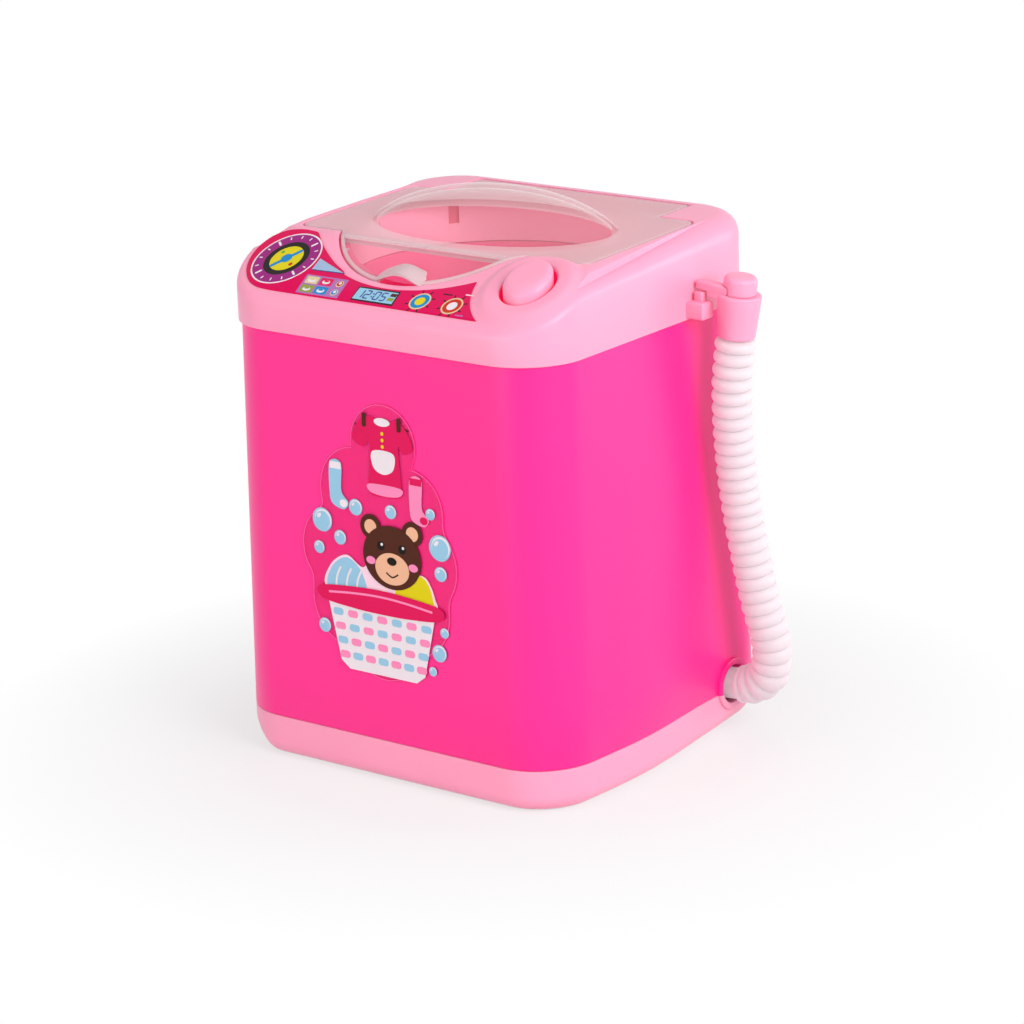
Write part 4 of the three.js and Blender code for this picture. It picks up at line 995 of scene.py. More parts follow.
def make_agitator():
    top = AGITATOR_BOTTOM + AGITATOR_DISC
    hub_top = AGITATOR_BOTTOM + HUB_HEIGHT
    foot = HUB_RADIUS + HUB_FOOT
    profile = [(SHAFT_BORE, AGITATOR_BOTTOM), (AGITATOR_RADIUS - 0.8, AGITATOR_BOTTOM),
               (AGITATOR_RADIUS, AGITATOR_BOTTOM + 0.8), (AGITATOR_RADIUS, top - 0.9),
               (AGITATOR_RADIUS - 0.3, top - 0.25), (AGITATOR_RADIUS - 1, top), (foot, top)]
    profile += [(foot - HUB_FILLET * math.sin(a), top + HUB_FILLET * (1 - math.cos(a)))
                for a in sweep(QUARTER, 6)[1:]]
    profile += [(HUB_TOP_RADIUS * math.cos(a), hub_top - HUB_ROUND + HUB_ROUND * math.sin(a))
                for a in sweep(QUARTER, 8)[:-1]]
    profile += [(0, hub_top), (0, hub_top - HUB_SOCKET), (SHAFT_BORE, hub_top - HUB_SOCKET)]
    piece = make_object("agitator", Form().lathe(0, TUB_Y, profile, closed=True), [TUB])
    fins = []
    for i in range(FIN_COUNT):
        rings = []
        for k in range(9):
            share = k / 8
            half = FIN_HALF - FIN_TAPER * share if share < 1 else FIN_TIP
            end = AGITATOR_RADIUS - FIN_MARGIN - FIN_SLANT * share ** 2
            tip = [(end - half + half * math.sin(a), -half * math.cos(a)) for a in sweep(math.pi, 8)]
            outline = [(FIN_START, -half), *tip, (FIN_START, half)]
            rings.append(level(outline, top - FIN_ROOT + (FIN_HEIGHT + FIN_ROOT) * share))
        fins.append(turn_in_tub(tool(Form().skin(rings)), TURN * (i + 0.5) / FIN_COUNT))
    combine(piece, fins, "UNION")
    return piece


place("agitator_disc", make_agitator(), "agitator", "tub_plastic", "agitator")


# Lid

def dome_rings(inset, foot):
    half_x, half_y = DOME_HALF_X - inset, DOME_HALF_Y - inset

    def oval(share, lift):
        plan = [(DOME_X + share * half_x * math.cos(a), DOME_Y + share * half_y * math.sin(a))
                for a in sweep(TURN, FINE)[:-1]]
        return [(x, y, surf(y) + lift) for x, y in plan]

    rings = [oval(1, -foot)]
    for i in range(DOME_STEPS):
        angle = DOME_ARC * (1 - i / DOME_STEPS)
        lift = (math.cos(angle) - math.cos(DOME_ARC)) / (1 - math.cos(DOME_ARC))
        rings.append(oval(math.sin(angle) / math.sin(DOME_ARC), lift * (DOME_HEIGHT - inset)))
    return rings


def arch_form(inset, extra):
    half = ARCH_HALF_WIDTH - inset * 0.6
    height = ARCH_HEIGHT - inset
    reach = ARCH_LENGTH - inset
    front = LID_ARC_Y - LID_ARC_RADIUS
    stations = [(-extra, 1), (reach * ARCH_STRAIGHT, 1)]
    stations += [(reach * (ARCH_STRAIGHT + ARCH_ROUND * math.sin(a)), math.cos(a) ** 0.8)
                 for a in sweep(QUARTER, 9)[1:-1]]
    rings = []
    for along, share in stations:
        y = front + along
        hoop = []
        for k in range(33):
            across = 1 - k / 16
            bump = (0.5 + 0.5 * math.cos(math.pi * across)) ** 0.65
            x = ARCH_X + half * across * (0.55 + 0.45 * share)
            hoop.append((x, y, surf(y) + height * share * bump))
        floor = surf(y) - RECESS_DEPTH
        rings.append([*hoop, (hoop[-1][0], y, floor), (hoop[0][0], y, floor)])
    return Form().skin(rings)


def window_outline(inset):
    """The clear panel in the lid's front, drawn in from the arc and from the crease."""
    radius = LID_ARC_RADIUS - inset
    rear = BEND_Y - inset * 0.4
    tilt = math.asin((LID_ARC_Y - rear) / radius)
    return arc(LID_ARC_X, LID_ARC_Y, radius, tilt - math.pi, -tilt, 60)


def lid_spare_points(loops):
    points = []
    for j in range(-6, 7):
        y = BEND_Y + j * CREASE / 6
        points += [(CREASE_HALF * (i / 14 - 1), y) for i in range(29)]
    for j in range(26):
        for i in range(28):
            x = SPARE_LEFT + (i + 0.5) * GRID
            y = SPARE_FRONT + (j + 0.5 + 0.25 * (-1) ** i) * GRID
            if abs(y - BEND_Y) > CREASE + 1:
                points.append((x, y))
    outer = loops[0]
    return clear_of([p for p in points if inside(*p, outer)], loops, 0.6)


def make_lid():
    def lid_ring(inset, drop):
        return [(x, y, surf(y) - drop) for x, y in lid_outline(-inset)]

    edge = [(LID_EDGE, LID_THICKNESS), (LID_EDGE * 0.3, LID_THICKNESS - LID_EDGE * 0.3),
            (0, LID_THICKNESS - LID_EDGE), (0, LID_EDGE), (LID_EDGE * 0.3, LID_EDGE * 0.3), (LID_EDGE, 0)]
    rings = [lid_ring(inset, drop) for inset, drop in edge]
    form = Form().skin(rings, caps=(False, False))
    inner = window_outline(WINDOW_RIM)
    window = [[(x, y, surf(y)) for x, y in window_outline(WINDOW_RIM - WINDOW_DROP / 2)],
              [(x, y, surf(y) - WINDOW_DROP) for x, y in inner]]
    form.skin(window, caps=(False, False))
    spare = lid_spare_points([rings[-1], window[0]])
    form.fill(rings[-1], [window[0]], plain_top, [p for p in spare if not inside(*p, window[0])])
    form.fill(window[1], [], lambda x, y: surf(y) - WINDOW_DROP,
              clear_of([p for p in spare if inside(*p, window[1])], [window[1]], 0.5))
    form.fill(rings[0], [], lambda x, y: surf(y) - LID_THICKNESS, spare, flip=True)
    lid = make_object("lid_panel", form, [FROST, CLEAR, RIM_HIGHLIGHT])

    # A low ridge along the crease, behind the clear panel
    half = RIDGE_WIDTH / 2
    ridge_y = BEND_Y + half
    section = [(half * math.cos(a), RIDGE_HEIGHT * math.sin(a)) for a in sweep(math.pi, 8)]
    section += [(-half, -LID_THICKNESS / 2), (half, -LID_THICKNESS / 2)]
    ridge = tool(Form().skin([[(x, ridge_y + y, surf(ridge_y + y) + z) for y, z in section]
                              for x in (inner[0][0], inner[-1][0])]))
    dome = tool(Form().skin(dome_rings(0, LID_THICKNESS / 2), ink=1))
    arch = tool(arch_form(0, -0.15))
    combine(lid, [ridge, dome, arch], "UNION")
    hollow = tool(Form().skin(dome_rings(LID_THICKNESS, RECESS_DEPTH), ink=1))
    tunnel = tool(arch_form(ARCH_WALL, 1))
    combine(lid, [hollow, tunnel], "DIFFERENCE")
    hinge_z = surf(HINGE_Y) - HINGE_DROP
    pins = []
    for side in (1, -1):
        knuckle = sorted((side * (LID_NECK - KNUCKLE_LENGTH), side * (LID_NECK - CUT_GAP)))
        pin = sorted((side * (LID_NECK - 1), side * PIN_END))
        pins.append(tool(rod_x(*knuckle, HINGE_Y, hinge_z, KNUCKLE_RADIUS)))
        pins.append(tool(rod_x(*pin, HINGE_Y, hinge_z, PIN_RADIUS, edge=0.25)))
    combine(lid, pins, "UNION")
    mark_clear(lid, inner)
    return lid


def mark_clear(lid, window):
    """The dome and the front panel are clear, and the rest is frosted; the lid's edges, the ridge and the
    arch get a whitish copy of the plastic, a painted highlight.
    """
    dress(lid, [FROST, CLEAR, RIM_HIGHLIGHT])
    plate = lid_outline(-0.35)
    for face in lid.data.polygons:
        x, y, z = face.center / MM
        shrink = LID_THICKNESS - 0.1 if z < surf(y) - LID_THICKNESS / 2 else 0.2
        across, along = (x - DOME_X) / (DOME_HALF_X - shrink), (y - DOME_Y) / (DOME_HALF_Y - shrink)
        in_dome = across ** 2 + along ** 2 < 1
        in_arch = abs(x - ARCH_X) < ARCH_HALF_WIDTH and z > surf(y) + 0.05
        if in_dome or (inside(x, y, window) and not in_arch):
            face.material_index = 1
        elif y < BEND_Y + RIDGE_WIDTH or not inside(x, y, plate):
            face.material_index = 2
        else:
            face.material_index = 0


place("lid_panel", make_lid(), "lid", "lid_plastic", "lid", angle=28)


# Push button

def make_button():
    top = surf(BUTTON_Y)
    bore = circle(BUTTON_X, BUTTON_Y, BUTTON_RADIUS - BUTTON_WALL)
    skirt = circle(BUTTON_X, BUTTON_Y, BUTTON_RADIUS)

    def lifted(radius, lift):
        return [(x, y, top + (y - BUTTON_Y) * SLOPE + lift) for x, y in circle(BUTTON_X, BUTTON_Y, radius)]

    rings = [level(bore, top - BUTTON_WALL), level(bore, top - BUTTON_SKIRT)]
    rings.append(level(skirt, top - BUTTON_SKIRT))
    for angle in sweep(QUARTER, 8):
        rings.append(lifted(BUTTON_RADIUS - BUTTON_EDGE * (1 - math.cos(angle)),
                            BUTTON_RISE - BUTTON_EDGE * (1 - math.sin(angle))))
    for share in (0.85, 0.65, 0.4, 0.15):
        radius = (BUTTON_RADIUS - BUTTON_EDGE) * share
        rings.append(lifted(radius, BUTTON_RISE + BUTTON_CROWN * (1 - share * share)))
    return make_object("button", Form().skin(rings), [PALE])


place("push_button_cap", make_button(), "button", "pale_plastic", "push_button")


# Printed films

def on_slope(x, y, lift):
    return (x, y, HIGH_SEAM + FRONT_SKIRT + (y - COVER_FRONT) * SLOPE + lift)


def on_front(x, z, lift):
    return (x, front_wall(z) - lift, z)


def left_meet(a, b):
    """Of the two points where two circles cross, the one with the lower x."""
    gap = math.hypot(b[0] - a[0], b[1] - a[1])
    along = (gap ** 2 + a[2] ** 2 - b[2] ** 2) / (2 * gap)
    across = math.sqrt(a[2] ** 2 - along ** 2)
    ux, uy = (b[0] - a[0]) / gap, (b[1] - a[1]) / gap
    return min((a[0] + along * ux - s * across * uy, a[1] + along * uy + s * across * ux)
               for s in (-1, 1))


def label_outline(inset):
    front = COVER_FRONT + LABEL_FRONT_MARGIN + inset
    tail_radius = LABEL_TAIL_RADIUS + inset
    arc_radius = LABEL_ARC_RADIUS + inset
    tail = left_meet((LABEL_ARC_X, LABEL_ARC_Y, arc_radius), (LABEL_TAIL_X, LABEL_TAIL_Y, tail_radius))
    tail_start = -QUARTER - math.acos((LABEL_TAIL_Y - front) / tail_radius)
    tail_end = math.atan2(tail[1] - LABEL_TAIL_Y, tail[0] - LABEL_TAIL_X)
    if tail_end > 0:
        tail_end -= TURN
    arc_start = math.atan2(tail[1] - LABEL_ARC_Y, tail[0] - LABEL_ARC_X)
    arc_end = math.atan2(LABEL_END[0][1] - LABEL_ARC_Y, LABEL_END[0][0] - LABEL_ARC_X)
    end = []
    for x, y in smooth(LABEL_END, steps=4, closed=False):
        across, along = x - LABEL_END_X, y - LABEL_END_Y
        away = math.hypot(across, along)
        end.append((x - across / away * inset, max(y - along / away * inset, front)))
    return [
        *arc(LABEL_TAIL_X, LABEL_TAIL_Y, tail_radius, tail_start, tail_end, 24),
        *arc(LABEL_ARC_X, LABEL_ARC_Y, arc_radius, arc_start, arc_end, 40)[1:-1],
        *end,
        (-26, front),
    ]


def make_film(name, mapping, outline, inset, soft, material, slot, node):
    """A thin film with a soft upper edge."""
    profile = [(inset, FILM_GAP), (inset, FILM_GAP + FILM - soft), (inset + soft, FILM_GAP + FILM)]
    rings = [[mapping(u, v, lift) for u, v in outline(shrink)] for shrink, lift in profile]
    place(name, make_object(name, Form().skin(rings), [material]), "housing", slot, node)


class Print:
    """Thin printed shapes on a film, each a closed slab of ink on its own level."""

    def __init__(self, mapping):
        self.form = Form()
        self.mapping = mapping
        self.inks = []

    def ink(self, material):
        if material not in self.inks:
            self.inks.append(material)
        return self.inks.index(material)

    def slab(self, outlines, lifts, material, closed):
        rings = [[self.mapping(u, v, lift) for u, v in outline] for outline, lift in zip(outlines, lifts)]
        self.form.skin(rings, closed, ink=self.ink(material))

    def shape(self, outline, material, layer=0):
        low = PRINT_START + INK * layer
        self.slab((outline, outline), (low, low + INK_LAYER), material, False)

    def ring(self, outer, inner, material):
        low, high = PRINT_START, PRINT_START + INK_LAYER
        self.slab((outer, outer, inner, inner), (low, high, high, low), material, True)

    def blob(self, points, material, layer, steps=6):
        """A shape with a soft outline through the points."""
        self.shape(smooth(points, steps), material, layer)

    def thread(self, points, width, material, layer):
        """A soft line through the points."""
        self.shape(stroke(smooth(points, closed=False), width), material, layer)

    def make(self, name, slot):
        place(name, make_object(name, self.form, self.inks), "housing", slot)


def ellipse(x, y, a, b, angle=0, steps=48):
    c, s = math.cos(angle), math.sin(angle)
    around = [(a * u, b * v) for u, v in circle(0, 0, 1, steps)]
    return [(x + (u * c - v * s), y + (u * s + v * c)) for u, v in around]


def bar(start, end, width):
    """A straight stroke with round ends."""
    angle = math.atan2(end[1] - start[1], end[0] - start[0])
    half = width / 2
    return (arc(*end, half, angle - QUARTER, angle + QUARTER, 6)
            + arc(*start, half, angle + QUARTER, angle + 3 * QUARTER, 6))


def spoke(x, y, near, far, angle, width):
    """A straight stroke that points away from a middle."""
    start, end = [(x + reach * math.cos(angle), y + reach * math.sin(angle)) for reach in (near, far)]
    return bar(start, end, width)


def stroke(points, width):
    """A ribbon of even width along a line of points."""
    left, right = [], []
    for i, (x, y) in enumerate(points):
        ax, ay = points[max(i - 1, 0)]
        bx, by = points[min(i + 1, len(points) - 1)]
        length = math.hypot(bx - ax, by - ay)
        nx, ny = -(by - ay) / length * width / 2, (bx - ax) / length * width / 2
        left.append((x + nx, y + ny))
        right.append((x - nx, y - ny))
    return right + left[::-1]


def smooth(points, steps=8, closed=True):
    """A soft line through the points."""
    count = len(points)
    result = []
    spans = count if closed else count - 1
    for i in range(spans):
        p = [points[(i + k) % count] if closed else points[min(max(i + k, 0), count - 1)]
             for k in (-1, 0, 1, 2)]
        for step in range(steps):
            t = step / steps
            weights = (-t + 2 * t * t - t ** 3, 2 - 5 * t * t + 3 * t ** 3,
                       t + 4 * t * t - 3 * t ** 3, -t * t + t ** 3)
            result.append(tuple(sum(w * q[axis] for w, q in zip(weights, p)) / 2 for axis in (0, 1)))
    if not closed:
        result.append(points[-1])
    return result


def ink(name, code, roughness=0.38):
    return finish(f"ink_{name}", code, roughness, relief=0.003, tint=0.03, blotch=4, specular=0.1)


MAGENTA = ink("magenta", "D80054")
PURPLE = ink("purple", "98207A")
BLACK = ink("black", "17120F")
YELLOW = ink("yellow", "DDCB14")
SKY = ink("sky", "0F86C4")
LIGHT_BLUE = ink("light_blue", "97C4DE")
WHITE = ink("white", "EADFE4")
RED = ink("red", "C63019")
GREEN = ink("green", "5BA04A")
LILAC = ink("lilac", "B071B2")
CREAM = ink("cream", "DCC79A")
GREY_BLUE = ink("grey_blue", "A0B7D6")
CRIMSON = ink("crimson", "DE1558")
ROSE = ink("rose", "F78BB8")
BLUSH = ink("blush", "FBD3E2")
BROWN = ink("brown", "4E2417")
PEACH = ink("peach", "EBB492")
# Painted highlight: a lighter pink line printed just inside the sticker's edge, for the light its cut edge
# catches
EDGE_HIGHLIGHT = ink("painted_edge_highlight", "FF5CA4")
OLIVE = ink("olive", "8C9A3C")
NAVY = ink("navy", "2B4A8C")


def print_dial(art):
    """A dial with a blue pointer and boss, two dots, and plain tick marks, long and short."""
    x, y = DIAL_X, DIAL_Y
    for outer, inner, material in ((8.25, 7.9, WHITE), (7.85, 5.4, PURPLE), (5.38, 3.98, BLACK)):
        art.ring(circle(x, y, outer), circle(x, y, inner), material)
    art.shape(circle(x, y, 3.95), YELLOW)
    tilt = math.radians(52)
    art.shape(spoke(x, y, -3.5, 3.5, tilt, 0.95), SKY, 1)
    art.shape(circle(x, y, 1.35), SKY, 2)
    art.shape(circle(x - 2.4, y + 1.7, 0.42, 20), GREEN, 1)
    art.shape(circle(x + 2.4, y - 1.6, 0.5, 20), RED, 1)
    for k in range(16):
        near, width = (6.6, 0.28) if k % 4 else (6, 0.5)
        art.shape(spoke(x, y, near, 7.2, TURN * k / 16 + tilt, width), WHITE, 1)


def print_pictures(art):
    """A leaning panel with six small pictures in two rows, and a wedge above it."""
    wedge = [(-24.9, -29.6), (-24.6, -33.2), (-15.2, -33)]
    art.shape(wedge[::-1], GREY_BLUE)
    art.shape(stroke(wedge[1:], 0.22), NAVY, 1)
    corner, across, down = (-24.5, -34.7), (11.9, 0), (1, -5.75)

    def in_panel(u, v):
        return (corner[0] + across[0] * u + down[0] * v, corner[1] + across[1] * u + down[1] * v)

    def patch(u, v, width, height):
        ends = ((u, v + height), (u + width, v + height), (u + width, v), (u, v))
        return [in_panel(*end) for end in ends]

    art.shape(patch(0, 0, 1, 1), LILAC)
    for material, column, row in ((CREAM, 0, 0), (CRIMSON, 1, 0), (OLIVE, 0, 1), (SKY, 1, 1)):
        u, v = 0.05 + 0.34 * column, 0.08 + 0.47 * row
        art.shape(patch(u, v, 0.29, 0.38), material, 1)
        x, y = in_panel(u + 0.145, v + 0.19)
        art.shape(ellipse(x, y - 0.1, 1.05, 0.62, 0, 24), WHITE, 2)
        art.shape(ellipse(x, y + 0.15, 0.7, 0.3, 0, 20), material, 3)
    for row, material in enumerate((RED, SKY)):
        x, y = in_panel(0.86, 0.27 + 0.47 * row)
        art.shape(circle(x, y, 0.95, 32), CREAM, 1)
        art.shape(circle(x, y, 0.72, 32), material, 2)
        art.shape(circle(x + 0.1, y + 0.1, 0.38, 20), WHITE, 3)


def print_knobs(art):
    """Two small knobs with marks round them, and three short bars."""
    for x, outer, inner in ((9.7, SKY, YELLOW), (18.5, RED, WHITE)):
        art.ring(circle(x, KNOB_Y, 2.5, 48), circle(x, KNOB_Y, 2.15, 48), CREAM)
        art.ring(circle(x, KNOB_Y, 2.12, 48), circle(x, KNOB_Y, 1.25, 48), outer)
        art.shape(circle(x, KNOB_Y, 1.22, 32), inner)
        for k in range(8):
            art.shape(spoke(x, KNOB_Y, 2.75, 3.35, TURN * (k + 0.5) / 8, 0.32), BLACK)
    bars = ((14, -34.6, 2.2, BLACK), (19.6, -33.9, 2, BLUSH), (21.3, -40.1, 1.8, LILAC))
    for x, y, width, material in bars:
        art.shape(bar((x, y), (x + width, y), 0.32), material)


def make_label():
    make_film("control_label_film", on_slope, label_outline, 0, 0.08, MAGENTA, "label_film", "control_label")
    art = Print(on_slope)
    print_dial(art)
    print_pictures(art)
    print_display(art)
    print_knobs(art)
    art.make("control_label_print", "label_film")


SEGMENTS = {
    "a": ((0.15, 1), (0.85, 1)), "b": ((1, 0.92), (1, 0.58)), "c": ((1, 0.42), (1, 0.08)),
    "d": ((0.15, 0), (0.85, 0)), "e": ((0, 0.42), (0, 0.08)), "f": ((0, 0.92), (0, 0.58)),
    "g": ((0.15, 0.5), (0.85, 0.5)),
}
DIGITS = {"1": "bc", "2": "abged", "0": "abcdef", "5": "afgcd"}


def print_display(art):
    """A pale screen with four plain digits and two dots."""
    corners = [(-8.5, -36), (3, -35.9), (3.8, -40.3), (-8, -40.2)]
    art.shape(corners[::-1], BLACK)
    x0, x1 = -8.1, 3.3
    y0, y1 = -39.8, -36.4
    art.shape([(x0 + 0.3, y0), (x1, y0), (x1 - 0.5, y1), (x0, y1)], LIGHT_BLUE, 1)
    height, width, lean = 2.3, 1.25, 0.02
    left = -7.2
    for symbol in "12:05":
        if symbol == ":":
            for share in (0.3, 0.7):
                art.shape(circle(left + 0.15, y0 + 0.55 + height * share, 0.2, 12), NAVY, 2)
            left += 0.75
            continue
        for name in DIGITS[symbol]:
            ends = [(left + width * u - lean * v, y0 + 0.55 + height * v) for u, v in SEGMENTS[name]]
            art.shape(bar(*ends, 0.3), NAVY, 2)
        left += width + 0.65
    for row, material in enumerate((BROWN, OLIVE)):
        v = -37.7 - 1.35 * row
        art.shape([(1.3, v), (2.9, v), (2.9, v + 0.9), (1.3, v + 0.9)], material, 2)


make_label()


def sticker_outline(shrink):
    """The die-cut edge: the reach of the round lobes in each direction, with soft corners."""
    lobes = [(a * STICKER_WIDTH, b * STICKER_HEIGHT, r * STICKER_WIDTH) for a, b, r in STICKER_LOBES]
    points = []
    for angle in sweep(TURN, STICKER_STEPS)[:-1]:
        ux, uy = math.cos(angle), math.sin(angle)
        total = 0
        for x, y, radius in lobes:
            along = x * ux + y * uy
            off = radius ** 2 - (x * x + y * y - along * along)
            if off > 0 and along + math.sqrt(off) > 0:
                total += (along + math.sqrt(off)) ** LOBE_POWER
        reach = total ** (1 / LOBE_POWER) - shrink
        points.append((STICKER_X + reach * ux, STICKER_Z + reach * uy))
    return points


def make_sticker():
    make_film("front_sticker_film", on_front, sticker_outline, 0.3, 0.1, STICKER, "sticker_film",
              "front_sticker")
    art = Print(on_front)
    # Painted highlight along the sticker's cut edge
    art.ring(sticker_outline(0.45), sticker_outline(0.68), EDGE_HIGHLIGHT)
    print_line(art)
    print_basket(art)
    print_bear(art)
    print_bubbles(art)
    art.make("front_sticker_print", "sticker_film")


def print_line(art):
    """A shirt on a line with two pegs, and two socks."""
    art.thread([(-6, 83.8), (-2, 84.4), (4, 84.4), (9.2, 84.2)], 0.5, BROWN, 1)
    shirt = [(-5.2, 84.4), (-2, 86.2), (0.4, 85.5), (3.2, 85.3), (5.6, 86.1), (8.6, 84), (10.2, 80.2),
             (7.5, 78.6), (6.2, 80), (6.7, 72), (6.4, 68.6), (2.2, 68), (-2.4, 68.6), (-2.2, 74), (-2, 80),
             (-3.8, 78.9), (-6.8, 80.6)]
    art.blob(shirt, CRIMSON, 2)
    art.shape(ellipse(1.8, 85.2, 2.2, 0.95), WHITE, 3)
    art.blob([(-1.1, 78.3), (4.7, 78.3), (4.6, 74.6), (1.8, 73.2), (-1, 74.6)], WHITE, 3)
    art.blob([(-2.3, 70.6), (6.5, 70.6), (6.3, 68.8), (2.2, 68.2), (-2.2, 68.8)], ROSE, 3, steps=4)
    for k in range(3):
        art.shape(circle(1.8, 82.6 - 1.5 * k, 0.42, 16), YELLOW, 4)
    for x in (-3.2, 6.6):
        art.shape(rounded_rectangle(1.1, 3.2, 0.4, 4, x, 85.2), BROWN, 5)
    for x, z, material, trim in ((-12, 74, LIGHT_BLUE, WHITE), (10.8, 73.4, ROSE, CRIMSON)):
        art.blob([(x - 1.6, z), (x + 1.6, z), (x + 1.5, z - 6.4), (x + 3.4, z - 8.8), (x + 2, z - 10.6),
                  (x - 1.2, z - 9.6), (x - 1.9, z - 6.8)], material, 2)
        cuff = [(x - 1.65, z - 1.4), (x + 1.65, z - 1.4), (x + 1.6, z + 0.2), (x - 1.6, z + 0.2)]
        art.shape(cuff, trim, 3)
        art.shape(ellipse(x + 2, z - 9.2, 1.1, 0.9), trim, 3)


def print_basket(art):
    """A basket with coloured slots, and washing heaped over its edge."""
    art.shape([(-15.6, 42.6), (-12.2, 27.6), (-9.8, 25.8), (9.4, 25.8), (11.8, 27.6), (15.2, 42.6)], WHITE, 3)
    for row in range(4):
        z = 39 - row * 3.3
        shrink = (42.6 - z) * 0.225
        for column in range(7):
            x = (-13.2 + column * 4.4) * (1 - shrink / 18)
            material = ROSE if (row + column) % 2 else LIGHT_BLUE
            art.shape(rounded_rectangle(2.9, 1.7, 0.7, 4, x, z), material, 4)
    art.blob([(-15.4, 44), (-14.6, 49.6), (-9.8, 52.8), (-5, 50.6), (-1.6, 54.8), (4, 55.6), (8.4, 51.6),
              (12.8, 51), (15.2, 46.6), (14.6, 43.6), (0, 43)], BLUSH, 1)
    art.blob([(-15, 44), (-14.2, 49.2), (-9.8, 52.2), (-5.6, 49.6), (-4.8, 44)], LIGHT_BLUE, 2)
    art.blob([(4.6, 44), (5.4, 50), (9, 51.6), (12.8, 50.4), (14.6, 46.4), (14, 43.6)], YELLOW, 2)
    for k in range(3):
        x = -13 + 3 * k
        art.thread([(x, 44.6), (x + 0.4, 47.4), (x + 1.6, 49.8)], 0.5, WHITE, 4)


def print_bear(art):
    """A toy bear that looks out of the basket, with the basket's rim in front of it."""
    middle = 3.5
    for side in (-1, 1):
        art.shape(circle(middle + 5.9 * side, 60.6, 2.9, 32), BROWN, 4)
        art.shape(circle(middle + 5.9 * side, 60.6, 1.7, 24), PEACH, 5)
    art.shape(ellipse(middle, 54.2, 8.2, 7.4), BROWN, 6)
    art.shape(ellipse(middle, 51.6, 4.8, 3.7), PEACH, 7)
    for side in (-1, 1):
        art.shape(circle(middle + 3 * side, 56.6, 1.05, 24), BLACK, 7)
        art.shape(circle(middle + 3 * side + 0.3, 57, 0.34, 16), WHITE, 8)
        art.shape(ellipse(middle + 6 * side, 52.8, 1.3, 0.9), ROSE, 7)
    art.shape(ellipse(middle, 53.4, 1.35, 0.95), BLACK, 8)
    art.thread([(middle - 1.7, 50.6), (middle, 49.7), (middle + 1.7, 50.6)], 0.35, BLACK, 8)
    art.blob([(-17.6, 44.4), (-9, 45.6), (0, 46), (9, 45.6), (17.2, 44.4), (16.6, 41.6), (8, 40.6),
              (0, 40.4), (-8, 40.6), (-17, 41.6)], CRIMSON, 9)
    art.thread([(-15, 43.4), (-7, 44.2), (0, 44.5), (7, 44.2), (14.6, 43.4)], 0.5, ROSE, 10)


def print_bubbles(art):
    bubbles = [(-16.4, 60, 2.8), (-11.4, 56.6, 1.7), (17, 58.6, 3), (17, 52.6, 1.7), (3.4, 64.8, 1.6),
               (-17.6, 53.4, 1.5), (-6.6, 64.4, 1.9), (16, 34, 2), (17.6, 39, 1.2), (-16.8, 35, 1.7),
               (14.6, 66, 1.3), (14, 29.4, 1.1)]
    for x, z, r in bubbles:
        art.shape(circle(x, z, r, 40), LIGHT_BLUE, 1)
        art.shape(circle(x + r * 0.08, z + r * 0.06, r * 0.84, 40), WHITE, 2)
        art.shape(circle(x + r * 0.05, z - r * 0.04, r * 0.76, 40), LIGHT_BLUE, 3)
        art.shape(ellipse(x - r * 0.3, z + r * 0.34, r * 0.26, r * 0.15, 0.8, 20), WHITE, 4)


make_sticker()


# Drain hose

def route_curve(points, spans=24):
    """Points close together on the centripetal curve through the route, from end to end."""
    vectors = [Vector(p) for p in points]
    ends = [vectors[0] * 2 - vectors[1], *vectors, vectors[-1] * 2 - vectors[-2]]
    line = []
    for i in range(1, len(ends) - 2):
        p0, p1, p2, p3 = ends[i - 1:i + 3]
        t01 = (p1 - p0).length ** 0.5
        t12 = (p2 - p1).length ** 0.5
        t23 = (p3 - p2).length ** 0.5
        m1 = (p2 - p1) + t12 * ((p1 - p0) / t01 - (p2 - p0) / (t01 + t12))
        m2 = (p2 - p1) + t12 * ((p3 - p2) / t23 - (p3 - p1) / (t12 + t23))
        for step in range(spans):
            t = step / spans
            line.append(p1 * (2 * t ** 3 - 3 * t * t + 1) + m1 * (t ** 3 - 2 * t * t + t)
                        + p2 * (3 * t * t - 2 * t ** 3) + m2 * (t ** 3 - t * t))
    line.append(vectors[-1])
    return line


def tube_rings(line, stations, steps):
    """Rings at each distance along the line, carried on without a twist."""
    lengths = [0]
    for a, b in zip(line, line[1:]):
        lengths.append(lengths[-1] + (b - a).length)
    side = Vector((0, 1, 0))
    rings = []
    for distance, radius in stations:
        distance = min(max(distance, 0), lengths[-1])
        k = next(i for i in range(1, len(lengths)) if lengths[i] >= distance - 1e-9)
        share = (distance - lengths[k - 1]) / (lengths[k] - lengths[k - 1])
        centre = line[k - 1].lerp(line[k], share)
        before = line[max(k - 2, 0)]
        after = line[min(k + 1, len(line) - 1)]
        along = (after - before).normalized()
        side = (side - along * side.dot(along)).normalized()
        up = along.cross(side)
        rings.append([centre + side * (radius * math.cos(TURN * i / steps))
                      + up * (radius * math.sin(TURN * i / steps)) for i in range(steps)])
    return rings, lengths[-1]


